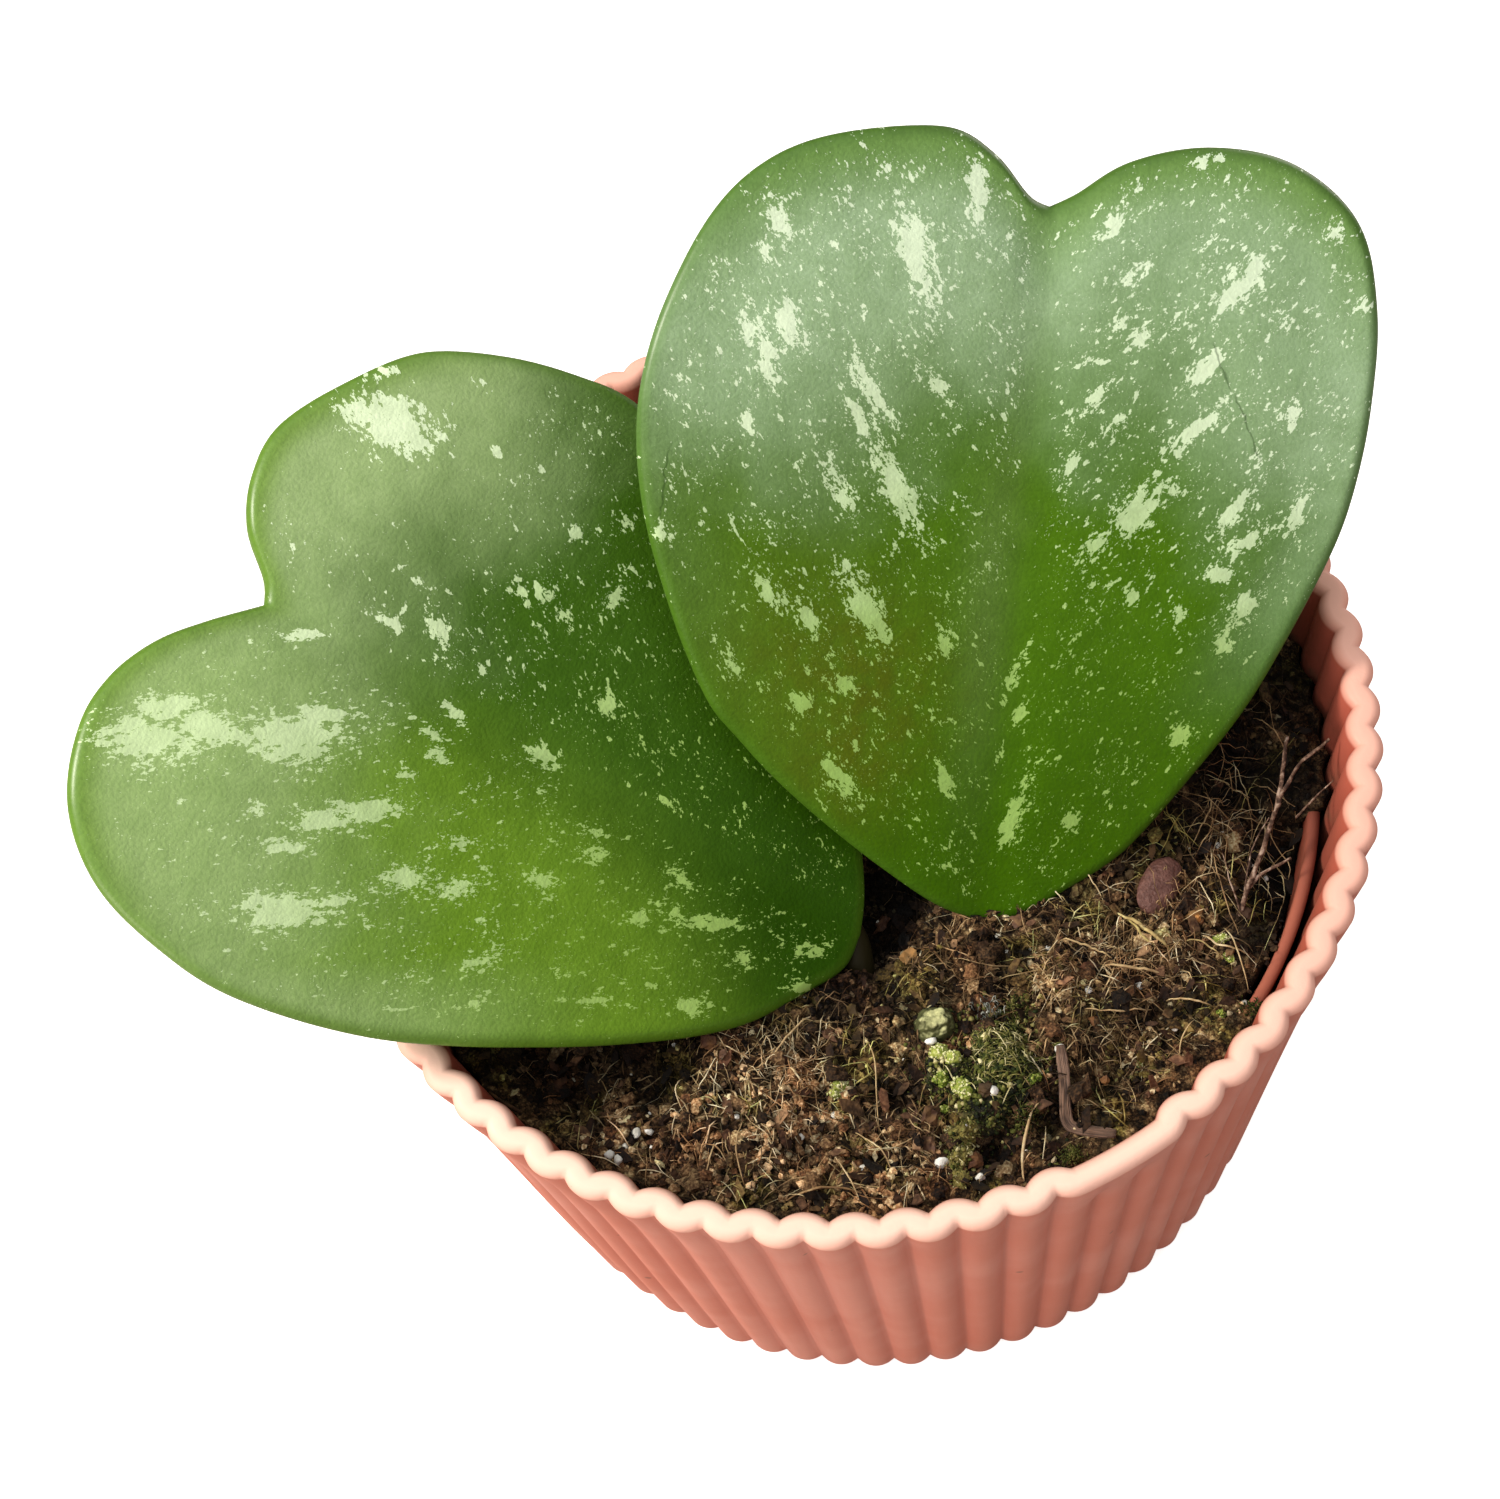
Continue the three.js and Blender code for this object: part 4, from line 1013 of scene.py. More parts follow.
def soilTop(x, y):
    # The soil's surface, with its edge drawn down to the liner or over its rim
    over, height = spillsAt(x, y), soilHeight(x, y)
    rim = max(height - 0.8, soil.overRim + 1) if over else clamp(soilForm(x, y), soil.neck - 5, soil.neck + 0.3)
    return mix(height, rim, ease(hypot(x, y) / (soil.edgeOver if over else soil.edgeWithin), 0.86, 1))


def peatLook():
    # Crumbs of two sizes with painted shade in the gaps between them, in clusters of hue
    place = placeInMm()
    fine = grain(place, 0.22, 4, 0.3, 0.7)
    large, small = granules(place, 1.15, 0.42), granules(place, 0.48, 0.42)
    value = large.Tone * 0.3 + small.Tone * 0.4 + fine * 0.3 + (grain(place, 5, 3) - 0.5) * 0.2
    colour = mixColours(larger(large.Gap * 0.85, small.Gap * 0.6), ramp(value, soilLook.stops), soilLook.gap)
    return {"Base Color": groundTint(colour, soilLook.hollow), "Roughness": 0.95 - large.Tone * 0.3,
            "Specular IOR Level": 0.12, "Normal": bump(large.Dome + small.Dome * 0.45 + fine * 0.25, 0.9, 0.45)}


def toneLook(roughness, size, contrast, relief, stops):
    # The tone picks a place on the ramp, and grain shifts it a little
    mottle = grain(placeInMm(), size, 5, 0.3, 0.7)
    colour = ramp(fieldOf("tone") + (mottle - 0.5) * contrast, stops)
    return {"Base Color": groundTint(colour, soilLook.hollow), "Roughness": mottle * 0.14 + (roughness - 0.08),
            "Specular IOR Level": 0.2, "Normal": bump(mottle, relief, 0.15)}


def toneMaterial(name):
    return bpy.data.materials.get(name) or newMaterial(name, toneLook, *toneLooks[name])


def makeSoil():
    count, rows, neck, overRim = soil.sectors, soil.rings, soil.neck, soil.overRim
    foot = liner.foot + liner.floor + 0.3

    def insideAt(height):
        return linerRadius(height) - liner.wall - 0.4

    degrees = np.arange(count) * 360 / count - 180
    ways = np.c_[np.cos(np.radians(degrees)), np.sin(np.radians(degrees))]
    over = [spillsOver(d) for d in degrees]
    edge = [wallRadius(d, 64, True) - 0.35 if o else insideAt(neck - 2) for d, o in zip(degrees, over)]
    tops = [overRim if o else soilTop(*(way * radius)) - 0.3 for way, radius, o in zip(ways, edge, over)]
    rings = [
        np.c_[ways * insideAt(foot), np.full(count, foot)],
        np.c_[ways * insideAt(neck - 8), np.full(count, neck - 8)],
        np.c_[ways * insideAt(neck - 2), [overRim if o else top - 0.5 for o, top in zip(over, tops)]],
        np.c_[ways * np.array(edge)[:, None], tops]]
    # Painted shade on the soil's hidden lower rings and along its edge by the liner
    edgeShade = [0.8] * (1 + 4 * count)
    for row in range(rows, 0, -1):
        share = row / (rows + 1)
        places = [way * radius * share for way, radius in zip(ways, edge)]
        rings.append([(x, y, soilTop(x, y)) for x, y in places])
        edgeShade += [0 if o else 0.6 * ease(share, 0.94, 1) for o in over]
    points, faces = ringSkin(rings, (0, 0, foot), (0, 0, soilHeight(0, 0)))
    fields = {"damp": np.maximum(paintedShadeAt(points), [*edgeShade, 0]), "hue": [hueAt(x, y) for x, y, _ in points]}
    makePiece("soilMass", points, faces, newMaterial("peatSoil", peatLook), ["soil"], fields)


def roundVariants(count, seed, roughness, subdivisions=2):
    # A few lumpy little stones to be turned and scaled: 42 points each, or 12 with one subdivision
    base, faces = roundShape(subdivisions, 1)
    made = []
    for k in range(count):
        swell = [1 + roughness * noise.noise(p * 1.4 + Vector((seed + 5 * k, 0, 0))) for p in base]
        made.append(np.array(base) * np.array(swell)[:, None])
    return made, faces


def turned(points, rand):
    return spun(points, rand.uniform(0, 6.28), rand.uniform(-1, 1))


def scatter(rand, reach, frontShare=0.0):
    # An even place in the pot, or, for a share of the draws, in the front that the leaves leave bare
    while True:
        a, r = rand.uniform(0, 2 * pi), reach * sqrt(rand.random())
        x, y = r * cos(a), r * sin(a)
        if rand.random() > frontShare or y < -14 or x > 36:
            return x, y


def around(rand, x, y, spread):
    return x + rand.gauss(0, spread / 2), y + rand.gauss(0, spread / 2)


def isTaken(x, y):
    # Whether the bark chip or the crusted stone lies here
    return any(hypot(x - lump.at[0], y - lump.at[1]) < 0.42 * lump.size[0] for lump in (chip, crustLump))


def tonePlace(rand, x, y, spread=0.2):
    # A tone that drifts from place to place
    return clamp(0.42 + 0.5 * noiseAt(x / 4, y / 4, 57) + rand.gauss(0, spread))


def makeCrumbs():
    rand, heap = random.Random(71), Heap()
    tiny, large = roundVariants(10, 11, 0.8, 1), roundVariants(8, 23, 0.85)

    def addCrumb(stones, x, y, size, tone, hue=None):
        if not isTaken(x, y):
            shapes, faces = stones
            scale = (size, size * rand.uniform(0.55, 1), size * rand.uniform(0.45, 0.8))
            points = turned(rand.choice(shapes) * scale, rand)
            heap.add(points + (x, y, soilTop(x, y) + 0.25 * size), faces, tone, hue)

    for stones, count, reach, front, least, most, power, spread in (
            (tiny, crumb.tiny, crumb.reach, 0.72, crumb.least, crumb.middle, 1.6, 0.27),
            (large, crumb.large, crumb.reach - 1, 0.68, crumb.middle, crumb.most, 2.4, 0.18)):
        for k in range(count):
            x, y = scatter(rand, reach, front)
            size = mix(least, most, rand.random() ** power)
            addCrumb(stones, x, y, size, tonePlace(rand, x, y, spread))
    for cx, cy, spread, count, tone, size, hue in crumbClusters:
        for k in range(count):
            x, y = around(rand, cx, cy, spread)
            if hypot(x, y) < 53:
                addCrumb(tiny, x, y, size * rand.uniform(0.5, 1.3), clamp(rand.gauss(tone, 0.2)),
                         clamp(rand.gauss(hue, 0.15)))
    heap.piece("peatCrumbs", "peatCrumb", "soil", smooth=False)


def makeFlakes():
    rand, heap = random.Random(72), Heap()
    for k in range(flake.count):
        x, y = scatter(rand, flake.reach, 0.7)
        size = mix(flake.least, flake.most, rand.random() ** 2.4)
        corners = rand.choice((4, 5, 5, 6))
        outline = []
        for c in range(corners):
            a = 2 * pi * (c + rand.uniform(-0.25, 0.25)) / corners
            outline.append((size * cos(a), size * rand.uniform(0.25, 0.55) * sin(a)))
        half = flake.thick * rand.uniform(0.5, 1.2) / 2
        points = np.array([(px, py, z) for z in (-half, half) for px, py in outline])
        points = spun(points, rand.uniform(0, 6.28), rand.uniform(-0.9, 0.9), "Y")
        faces = [tuple(range(corners - 1, -1, -1)), tuple(range(corners, 2 * corners)), *bands(0, corners, 1)]
        if not isTaken(x, y):
            heap.add(points + (x, y, soilTop(x, y) + 0.35 * size), faces, tonePlace(rand, x, y, 0.28))
    heap.piece("peatFlakes", "peatFlake", "soil", smooth=False)


def wavyLine(rand, x, y, length, steps, lift, ground=soilTop):
    # A fibre lying on the soil, wandering as it goes, with its ends tucked in
    heading = rand.uniform(0, 2 * pi)
    bend, wave = rand.gauss(0, 0.8), rand.uniform(0, 6)
    line = []
    px, py = x - cos(heading) * length / 2, y - sin(heading) * length / 2
    for k in range(steps):
        share = k / (steps - 1)
        most = fibre.mostOver if spillsAt(px, py) else fibre.mostWithin
        reach = min(1, most / (hypot(px, py) + 1e-6))
        qx, qy = px * reach, py * reach
        arch = lift * sin(pi * share) + 0.18 * sin(wave + 7 * share) - 0.3 * (2 * share - 1) ** 4
        line.append((qx, qy, ground(qx, qy) + arch))
        heading += bend / steps + rand.gauss(0, 0.11)
        px += cos(heading) * length / (steps - 1)
        py += sin(heading) * length / (steps - 1)
    return line


def addFibre(heap, line, radius, tone, sides=3, hue=None):
    last = len(line) - 1
    radii = [radius * (0.45 + 0.55 * sin(pi * clamp(k / last, 0.08, 0.92))) for k in range(last + 1)]
    heap.add(*tube(line, radii, sides), tone, hue)


def makeFibres():
    rand, heap = random.Random(73), Heap()

    # Fibres are left out more often where the painted shade is deep
    def skipsInPaintedShade(x, y, share):
        return rand.random() < share * paintedShadeAt(np.array([(x, y)]))[0]

    for k in range(fibre.count):
        x, y = scatter(rand, fibre.reach, 0.75)
        if skipsInPaintedShade(x, y, 0.7):
            continue
        length = mix(fibre.least, fibre.most, rand.random() ** 2)
        radius = mix(fibre.thin, fibre.thick, rand.random() ** 2.4)
        line = wavyLine(rand, x, y, length, 6, rand.uniform(0.1, 1.0))
        addFibre(heap, line, radius, clamp(tonePlace(rand, x, y, 0.26) + 0.08))
    for cx, cy, spread, count, tone in tangles:
        for k in range(count):
            x, y = around(rand, cx, cy, spread)
            if skipsInPaintedShade(x, y, 0.5):
                continue
            line = wavyLine(rand, x, y, rand.uniform(1.6, 5.5), 6, rand.uniform(0.1, 1.3))
            addFibre(heap, line, rand.uniform(0.03, 0.085), clamp(rand.gauss(tone, 0.2)))
    heap.piece("coirFibres", "coirFibre", "soil", damp=0.8)


makeSoil()
makeCrumbs()
makeFlakes()
makeFibres()
print("soil, crumbs, flakes and fibres made")


# Loose things on the soil

moss = Values(
    lumps=[(9.4, -42.2, 3.6, 2.5), (6.6, -38.4, 2.8, 2.5), (12.6, -39.4, 3.8, 2.6), (12.4, -36.2, 3.2, 2.3),
              (6.3, -50.2, 1.5, 2.6), (6.6, -47.8, 1.7, 2.8), (6.9, -45.2, 1.7, 2.6)],
    sink=0.9, voxel=0.28, blades=2300, threads=260, grains=700,
    deep="#171b0b", colour="#4f4e26", brown="#4a3420", ochre="#9c8f46", dark="#0f1008")
twig = Values(
    slim=0.68,
    stems=[  # radii at the foot and the tip, and the points passed
        (0.48, 0.3, [(40.5, -25, 58.5), (41.5, -23.4, 61.3), (44.8, -17.9, 64.2), (46.9, -14, 66.2),
                     (49.1, -7.8, 68.6)]),
        (0.36, 0.24, [(46.2, -15.3, 65.6), (49.6, -11.2, 68), (53.1, -9.7, 70.3)]),
        (0.34, 0.22, [(42.2, -22.3, 61.9), (43.9, -21, 62.6), (47.3, -19.9, 63.4)]),
        (0.18, 0.09, [(41.7, -23, 61.6), (43.3, -18.4, 62.8), (45.9, -15.2, 64.4)]),
        (0.2, 0.1, [(48.6, -15.8, 64.6), (50.4, -14.9, 66.4), (52.9, -13.6, 67.9)]),
        (0.16, 0.07, [(40.9, -24.2, 61), (40.4, -21.5, 62.6), (40.2, -18.2, 63.4)])])
strip = Values(
    width=1.25, thick=0.6,
    path=[(18.9, -37.4, 62.5), (18.7, -41, 62.1), (18.2, -45.6, 62), (19.8, -46.9, 62.1),
          (22.9, -47.8, 62.4)],
    profile=[(-1, -0.7), (-0.6, -1), (0.6, -1), (1, -0.7), (1, 0.7), (0.6, 1), (0.2, 0.86), (-0.2, 1),
             (-0.6, 0.9), (-1, 0.7)],
    colour="#80604a", dark="#2b1b13", pale="#917563")
# Straws, thick fibres and fine roots, placed one by one: radius, tone, hue and the points they pass
straws = [
    (0.2, 0.7, 0.4, [(20.4, -25.4), (23.5, -26.8), (26.6, -28.4)]),
    (0.26, 0.7, 0.5, [(24.4, -29.0), (28.4, -29.9), (32.5, -31.0)]),
    (0.2, 0.75, 0.4, [(31.0, -33.5), (33.4, -34.3), (35.8, -35.1)]),
    (0.34, 0.8, 0.3, [(27.6, -22.3), (30.1, -25.6), (33.2, -28.7)]),
    (0.24, 0.82, 0.26, [(28.6, -23.3), (29.6, -26.1), (31.4, -28.4)]),
    (0.15, 0.78, 0.3, [(33.6, -27.2), (35.6, -27.8), (38.1, -29.9)]),
    (0.13, 0.9, 0.4, [(24.4, -17.1), (25.6, -19.1), (26.6, -21.5)]),
    (0.13, 0.95, 0.4, [(20.1, -17.6), (21.6, -19.9), (22.3, -21.0)]),
    (0.32, 0.35, 0.7, [(-43.9, -32.5), (-41.3, -35.2), (-38.0, -37.2)]),
    (0.19, 0.85, 0.6, [(-7.0, -29.6), (-9.7, -32.3), (-12.2, -34.9)]),
    (0.14, 0.75, 0.4, [(-1.8, -32.6), (-0.9, -36.0), (-1.2, -40), (-1.5, -43.8)]),
    (0.27, 0.82, 0.5, [(15.4, -42.6), (13.9, -46.0), (12.9, -49), (12.6, -52.2)]),
    (0.12, 0.95, 0.4, [(16.0, -45.1), (15.6, -47.3), (14.9, -49.5)]),
    (0.14, 0.7, 0.5, [(-15.5, -40.6), (-16.6, -44), (-16.2, -48.3)]),
    (0.14, 0.8, 0.4, [(-4.5, -43.3), (-1.6, -46.0), (-0.7, -48.3)]),
    (0.14, 0.8, 0.5, [(-6.9, -45.2), (-5.2, -48.7), (-4.3, -51.6)]),
    (0.22, 0.6, 0.6, [(-12.7, -49.9), (-7.4, -49.5), (-3.3, -50.6)]),
    (0.18, 0.92, 0.5, [(-10.1, -35.8), (-8.9, -37.6)]),
    (0.13, 0.8, 0.5, [(-21.9, -39.2), (-22.4, -37), (-21.7, -35.2)]),
    (0.15, 0.75, 0.6, [(-20.3, -46.6), (-19.4, -44.5), (-18.8, -42.6)]),
    (0.13, 0.6, 0.5, [(39.8, -15.6), (39.4, -19.2), (39.6, -23.5), (40.4, -27.3)]),
    (0.13, 0.7, 0.5, [(40.1, -8.8), (40.3, -11.8), (37.4, -15.8)]),
    (0.11, 0.6, 0.5, [(46.9, -2.0), (48.8, -4.9), (49.8, -7.3)]),
    (0.15, 0.85, 0.4, [(38.9, -25.6), (39.4, -29.4), (39.9, -33.6)]),
    (0.19, 0.8, 0.5, [(36.2, -26.2), (37.4, -28.4), (40.9, -29.6)]),
    (0.17, 0.7, 0.5, [(22, -33.5), (25.5, -34.6), (29.6, -34.4)]),
    (0.13, 0.8, 0.4, [(33.5, -36.2), (31.6, -38.5), (30.9, -40.9)]),
]
bits = Values(
    perlite=[
        (11.1, -41.7, 0.62), (-3.7, -47.5, 0.6), (8.3, -50.3, 0.5), (-5.9, -41.3, 0.45), (-9.8, -43.0, 0.42),
        (-27.3, -40.3, 0.6), (-30.2, -42.6, 0.6), (-25.9, -40.2, 0.5), (-29.3, -43.3, 0.55),
        (-28.6, -41.6, 0.4), (23.0, -31.5, 0.42), (31.3, -36.8, 0.45), (5.4, -35.0, 0.6), (-16.2, -40.5, 0.35),
        (19.2, -19.4, 0.35), (4.6, -48.0, 0.75), (18.8, -37.7, 0.6), (39.2, -34.9, 0.35), (28.7, -31.2, 0.55)],
    algae=[  # x, y, radius, tone
        (-5.4, -38.3, 1.3, 0.8), (8.3, -41.0, 1.4, 0.7), (6.3, -37.1, 1.6, 0.78), (38.4, -27.6, 0.8, 0.7),
        (38.6, -29.4, 0.65, 0.6), (15.5, -40.8, 0.7, 0.3), (26.7, -39.8, 0.5, 0.6), (5.6, -39.2, 0.8, 0.5),
        (36.4, -36.2, 0.5, 0.3), (6.0, -42.4, 0.6, 0.45)],
    greenTufts=[
        (15.1, -32.2, 1.7, 0.45), (39.9, -36.2, 1.5, 0.3), (17.9, -49.6, 1.2, 0.45), (14.2, -44.6, 1.3, 0.3)],
    brown=[  # x, y, radius, tone, hue, flatness
        (35.8, -23.9, 0.95, 0.8, 0.45, 0.8), (36.1, -24.6, 0.6, 0.95, 0.7, 0.7),
        (2.0, -17.6, 1.1, 0.45, 0.8, 0.5), (4.6, -24.3, 1.3, 0.8, 0.4, 0.6), (4.3, -43.2, 1.2, 0.5, 0.6, 0.4),
        (3.5, -46.1, 1.0, 0.5, 0.6, 0.4), (23.3, -34.9, 0.8, 0.6, 1.0, 0.5), (-18.2, -31.5, 1.2, 0.5, 0.8, 0.4),
        (8.4, -22.6, 0.8, 0.6, 0.4, 0.6)],
    mould=(11.9, -32.1, 1.5, 80),  # x, y, spread, count
    strawShare=0.62,  # of the straws' radii above
    rootlets=110,  # fine furry roots in the hollow by the liner
    bladesPerTuft=170, loosePerlite=90, looseBark=90)


def barkLook():
    place = placeInMm()
    broad, fine = grain(place, 1.8, 5), grain(place, 0.35, 4, 0.3, 0.7)
    colour = mixColours(broad, chip.colour, chip.pale)
    colour = mixColours(fine * 0.4, colour, chip.dark)
    # Painted highlight: small pale dots stand for glints on the glossy bark
    colour = mixColours(specks(place, 0.9, 0.14, 0.16) * 0.8, colour, chip.dots)
    return {"Base Color": colour, "Roughness": broad.eased(0, 1, 0.42, 0.62), "Specular IOR Level": 0.3,
            "Normal": bump(fine + broad, 0.5, 0.2)}


def crustLook():
    place = placeInMm()
    broad, fine = grain(place, 1.5, 5, 0.38, 0.6), grain(place, 0.3, 4, 0.3, 0.7)
    pits = specks(place, 0.7, 0.2, 0.4)
    facing = axes(addNode("NewGeometry", {}, "Normal"))[2]
    colour = mixColours(facing.eased(0.68, 1.02) * (broad * 0.5 + 0.5), crustLump.colour, crustLump.pale)
    colour = mixColours(fine * 0.35, colour, crustLump.dark)
    colour = mixColours(pits * 0.6, colour, crustLump.pits)
    return {"Base Color": colour, "Roughness": 0.85, "Normal": bump(broad - pits, 0.9, 0.3)}


def woodLook():
    place = fieldOf("bladePlace", "Vector")
    lines = grain(vectorMaths("MULTIPLY", place, (1, 0.12, 1)), 0.28, 4, 0.3, 0.7)
    colour = mixColours(lines, strip.dark, strip.colour)
    colour = mixColours(grain(place, 2, 3) * 0.4, colour, strip.pale)
    return {"Base Color": colour, "Roughness": 0.8, "Normal": bump(lines, 0.8, 0.2)}


def mossLook():
    place = placeInMm()
    x, y, _ = axes(place)
    fine = grain(place, 0.45, 5, 0.3, 0.7)
    colour = mixColours(grain(place, 4.2, 4), moss.deep, moss.colour)
    colour = mixColours(grain(place, 2.4, 3, 0.48, 0.62) * 0.75, colour, moss.brown)
    colour = mixColours(y.eased(-43.2, -44.6) * x.eased(9.4, 8.2) * 0.85, colour, moss.ochre)
    colour = mixColours(fine * 0.55, colour, moss.dark)
    return {"Base Color": colour, "Roughness": 0.95, "Normal": bump(fine, 0.9, 0.4)}


def makeOval(name, lump, seed, ridges, material, node):
    points, faces = roundShape(5, 0.5)
    for k, p in enumerate(points):
        swell = 1 + 0.1 * noise.noise(p * 3 + Vector((seed, 0, 0)))
        for size, height in ridges:
            swell += height * noise.noise(p * size + Vector((seed, 5, 2)))
        points[k] = p * swell
    points = spun(np.array(points) * lump.size, radians(lump.turn), radians(lump.tilt))
    x, y = lump.at
    points += (x, y, soilForm(x, y) + lump.size[2] / 2 - lump.sink)
    makePiece(name, points, faces, material, [node])


def makeTwig():
    heap = Heap()
    for thick, thin, path in twig.stems:
        line, radii = [], []
        for k, p in enumerate(smoothLine(path, 26)):
            radii.append(twig.slim * mix(thick, thin, k / 25) * (1 + 0.3 * noise.noise(Vector(p) * 0.9)))
            line.append(tuple(Vector(p) + noise.noise_vector(Vector(p) * 0.5) * 0.16))
        heap.add(*tube(line, radii, 8), clamp(0.72 + 0.3 * noiseAt(*path[0])), 0.55)
    heap.piece("dryRoot", "dryRootBark", "root", ["dry_root"], damp=0)


def makeStrip():
    line = smoothLine(strip.path, 40)
    along = np.gradient(line, axis=0)
    along /= np.linalg.norm(along, axis=1)[:, None]
    rings, places = [], [(0, 0, 0)]
    for k, middle in enumerate(line):
        side = np.cross(along[k], (0, 0, 1))
        side /= np.linalg.norm(side)
        up = np.cross(side, along[k])
        narrow = 1 - 0.3 * ease(abs(k - 19.5), 15, 20)
        ring = []
        for u, v in strip.profile:
            wide = strip.width / 2 * narrow * (1 + 0.12 * noiseAt(k * 0.3, u, v))
            ring.append(middle + side * u * wide + up * v * strip.thick / 2)
            places.append((u * strip.width, k * 0.35, v))
        rings.append(ring)
    points, faces = ringSkin(rings, line[0], line[-1])
    fields = {"bladePlace": [*places, (0, 14, 0)]}
    material = newMaterial("weatheredWood", woodLook)
    makePiece("woodStrip", points, faces, material, ["wood_strip"], fields)


def makeMossClump():
    # The lumps are fused by a fine remesh, then roughened
    whole = bmesh.new()
    for x, y, radius, height in moss.lumps:
        base = soilForm(x, y) - moss.sink
        for vert in bmesh.ops.create_icosphere(whole, subdivisions=4, radius=1)["verts"]:
            east, north, up = vert.co
            vert.co = Vector((x + east * radius, y + north * radius * 0.9, base + up * height)) * mm
    clump = addMesh("mossRaw", [], [])
    whole.to_mesh(clump.data)
    whole.free()
    fused = changed(clump, "REMESH", mode="VOXEL", voxel_size=moss.voxel * mm)
    points = np.array([v.co for v in fused.vertices]) / mm
    normals = np.array([v.normal for v in fused.vertices])
    faces = [tuple(p.vertices) for p in fused.polygons]
    bpy.data.objects.remove(clump)
    rise = [0.45 * noise.noise(Vector(p) * 0.6) + 0.7 * abs(noise.noise(Vector(p) * 1.1))
            + 0.35 * abs(noise.noise(Vector(p) * 2.6)) - 0.2 for p in points]
    points = points + normals * np.array(rise)[:, None]
    makePiece("mossClump", points, faces, newMaterial("mossMound", mossLook), ["moss_clump"])
    return points, normals


def moundTop(x, y):
    # The moss mound's upper side, or the soil where the mound isn't
    height = soilTop(x, y)
    for cx, cy, radius, rise in moss.lumps:
        apart = ((x - cx) ** 2 + ((y - cy) / 0.9) ** 2) / radius ** 2
        if apart < 1:
            height = max(height, soilForm(cx, cy) - moss.sink + rise * sqrt(1 - apart) + 0.2)
    return height


def makeMossBlades(mound, normals):
    # Short blades and threads over the mound, and a few tufts by the rim
    rand, heap = random.Random(75), Heap()
    top = [k for k, normal in enumerate(normals) if normal[2] > 0.15]

    def mossTone(x, y):
        # Vivid green low on the mound, and olive to straw toward its top
        ochre = 0.4 * ease(y, -42, -44) if x < 8.8 else 0
        return 0.25 + 0.25 * ease(y, -43, -36) + ochre + 0.5 * noiseAt(x / 1.6, y / 1.6, 9)

    def addBlade(base, way, length, tone):
        foot = Vector(base)
        lean = Vector(way) + Vector((rand.gauss(0, 0.6), rand.gauss(0, 0.6), rand.gauss(0, 0.3)))
        tip = foot + lean.normalized() * length
        heap.add(*tube([tuple(base), tuple((foot + tip) / 2), tuple(tip)], (0.09, 0.08, 0.02), 3), tone, 0.5)

    for k in range(moss.blades):
        index = rand.choice(top)
        x, y, _ = mound[index]
        if x < 8.8 and y < -43.5 and rand.random() < 0.55:
            continue
        length, tone = rand.uniform(0.2, 0.6), clamp(mossTone(x, y) + rand.gauss(0, 0.2))
        addBlade(mound[index], normals[index], length, tone)
    for cx, cy, radius, tone in bits.greenTufts:
        for k in range(bits.bladesPerTuft):
            x, y = around(rand, cx, cy, radius)
            rise = 0.8 * exp(-((x - cx) ** 2 + (y - cy) ** 2) / radius ** 2)
            base = (x, y, soilTop(x, y) + rise)
            addBlade(base, (0, 0, 1), rand.uniform(0.3, 0.7), clamp(tone + rand.gauss(0, 0.12)))
    for k in range(moss.threads):
        x, y = 12.6 + rand.gauss(0, 2.6), -37.8 + rand.gauss(0, 2.2)
        line = wavyLine(rand, x, y, rand.uniform(1, 4), 6, rand.uniform(0.1, 0.6), moundTop)
        addFibre(heap, line, rand.uniform(0.03, 0.08), clamp(rand.gauss(0.62, 0.2)), hue=0.5)
    grains, faces = roundVariants(6, 91, 0.6, 1)
    for k in range(moss.grains):
        x, y = 10 + rand.gauss(0, 3.6), -39.5 + rand.gauss(0, 4.4)
        size = rand.uniform(0.15, 0.42)
        points = turned(rand.choice(grains) * (size, size * 0.8, size * 0.7), rand)
        green = mossTone(x, y) + rand.gauss(0, 0.2)
        heap.add(points + (x, y, moundTop(x, y) + 0.2 * size), faces, clamp(green), 0.5)
    heap.piece("mossBlades", "mossBlade", "moss", damp=0.25)


def makeStraws():
    rand, heap = random.Random(76), Heap()
    for radius, tone, hue, path in straws:
        line = []
        for k, (x, y) in enumerate(smoothLine(path, 18)):
            share = k / 17
            lift = 0.7 + 0.8 * sin(pi * share) - 1.0 * (2 * share - 1) ** 4
            line.append((x, y, mix(soilTop(x, y), soilForm(x, y) + 0.4, 0.5) + lift))
        addFibre(heap, line, bits.strawShare * radius, tone - 0.06, 6, hue)
    for k in range(bits.rootlets):
        x, y = rand.gauss(43, 3.4), rand.gauss(-14, 6.5)
        line = wavyLine(rand, x, y, rand.uniform(3, 9), 9, rand.uniform(0.8, 2.8))
        addFibre(heap, line, rand.uniform(0.03, 0.07), clamp(rand.gauss(0.6, 0.2)))
    heap.piece("strawsAndRoots", "coirFibre", "root", damp=0.3)


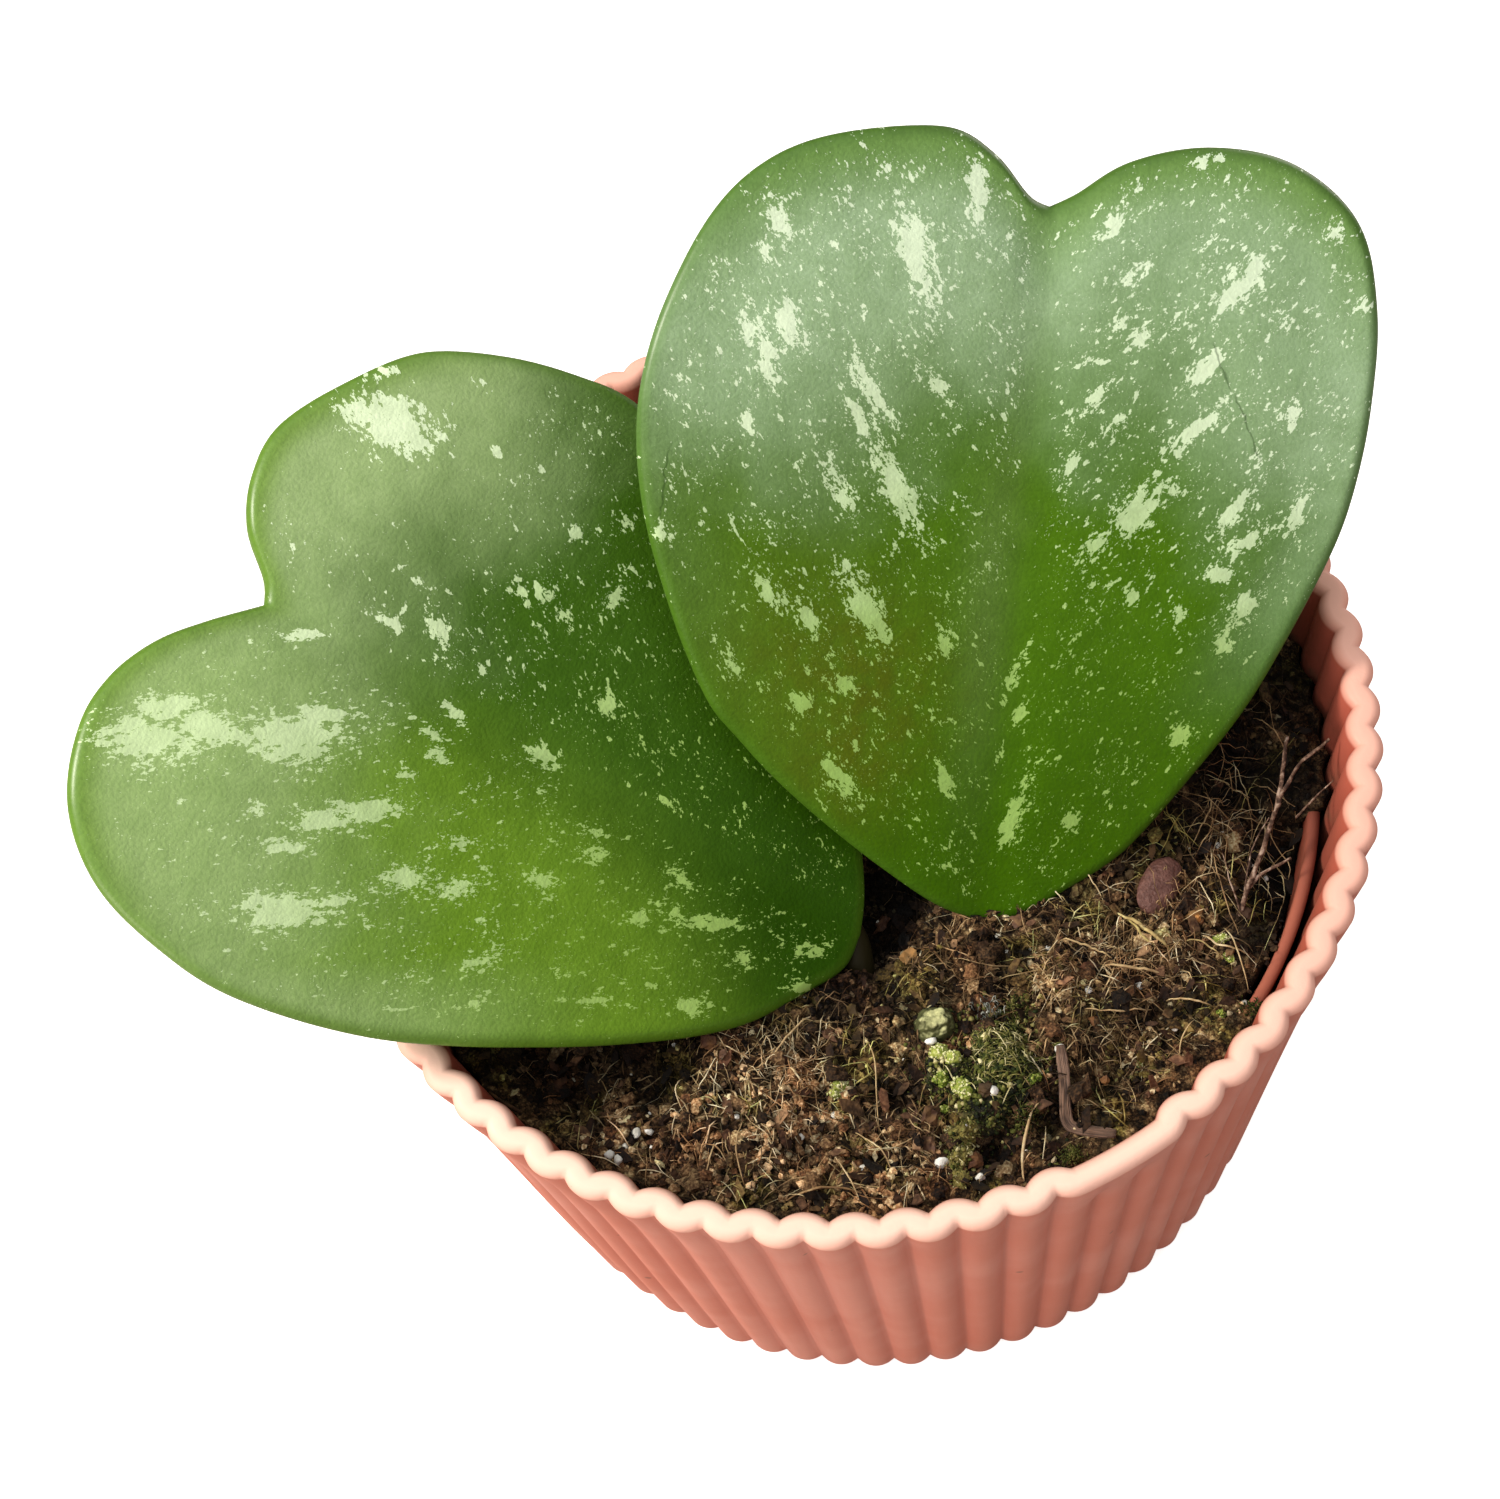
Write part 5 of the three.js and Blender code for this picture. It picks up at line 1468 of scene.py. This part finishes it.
def makeBits():
    rand = random.Random(77)
    smooth, rough, grains = roundVariants(6, 31, 0.5), roundVariants(6, 47, 0.8), roundVariants(6, 63, 0.5, 1)

    def addLump(stones, x, y, size, tone, flat, lift, hue=0.5):
        shapes, faces = stones
        points = turned(rand.choice(shapes) * (size, size * rand.uniform(0.8, 1), size * flat), rand)
        heap.add(points + (x, y, moundTop(x, y) + lift * size), faces, tone, hue)

    def addFloret(x, y, size, tone):
        # A lump covered in small grains, with painted light: grains higher up paler and the core under them
        # darker
        middle = np.array((x, y, moundTop(x, y) + 0.35 * size))
        core = turned(rand.choice(smooth[0]) * (size, size * 0.9, size * 0.8), rand)
        heap.add(core + middle, smooth[1], tone - 0.15, 0.5)
        for k in range(int(30 * size) + 10):
            a, b = rand.uniform(0, 6.28), math.asin(rand.uniform(-0.1, 1))
            way = np.array((cos(a) * cos(b), sin(a) * cos(b) * 0.9, sin(b) * 0.8))
            small = rand.uniform(0.08, 0.2) * (0.7 + 0.3 * size)
            points = turned(rand.choice(grains[0]) * (small, small, small * 0.8), rand)
            points = points + middle + way * size * rand.uniform(0.85, 1.1)
            heap.add(points, grains[1], clamp(tone + 0.25 * sin(b) + rand.gauss(0, 0.12)), 0.5)

    heap = Heap()
    for x, y, size in bits.perlite:
        addLump(smooth, x, y, size, rand.uniform(0.55, 1), 0.75, 0.6)
    for k in range(bits.loosePerlite):
        x, y = scatter(rand, 51, 0.6)
        addLump(smooth, x, y, rand.uniform(0.12, 0.34), rand.uniform(0.2, 0.9), 0.75, 0.8)
    heap.piece("perliteGrains", "perlite", "crust", damp=0.2)

    heap = Heap()
    for x, y, size, tone in bits.algae:
        for k in range(3):
            px, py = around(rand, x, y, 0.8 * size)
            addFloret(px, py, size * rand.uniform(0.5, 0.8), tone)
    heap.piece("algaeCrust", "algae", "moss", damp=0.1)

    heap = Heap()
    for x, y, size, tone, hue, flat in bits.brown:
        addLump(rough, x, y, size, tone, flat, 0.5, hue)
    for k in range(bits.looseBark):
        x, y = scatter(rand, 51, 0.6)
        addLump(rough, x, y, rand.uniform(0.3, 0.85), rand.uniform(0.2, 0.7), 0.4, 0.5, rand.random())
    heap.piece("barkBits", "barkBit", "bark", smooth=False, damp=0.6)

    heap = Heap()
    x, y, spread, count = bits.mould
    for k in range(count):
        line = wavyLine(rand, *around(rand, x, y, spread), rand.uniform(0.4, 1.2), 5, 0.8)
        addFibre(heap, line, rand.uniform(0.03, 0.06), rand.uniform(0.3, 1), hue=0.5)
    heap.piece("mouldThreads", "mould", "root")


bark, crust = newMaterial("barkSkin", barkLook), newMaterial("crustSkin", crustLook)
makeOval("barkChip", chip, 3, ((7, 0.03), (14, 0.015)), bark, "bark_chip")
makeOval("crustedStone", crustLump, 9, ((5, 0.14), (12, 0.06)), crust, "crusted_stone")
makeTwig()
makeStrip()
makeMossBlades(*makeMossClump())
makeStraws()
makeBits()
print("loose things on the soil made")

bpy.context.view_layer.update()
triangles = sum(sum(len(p.vertices) - 2 for p in o.data.polygons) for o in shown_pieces())
print("triangles in all:", triangles)
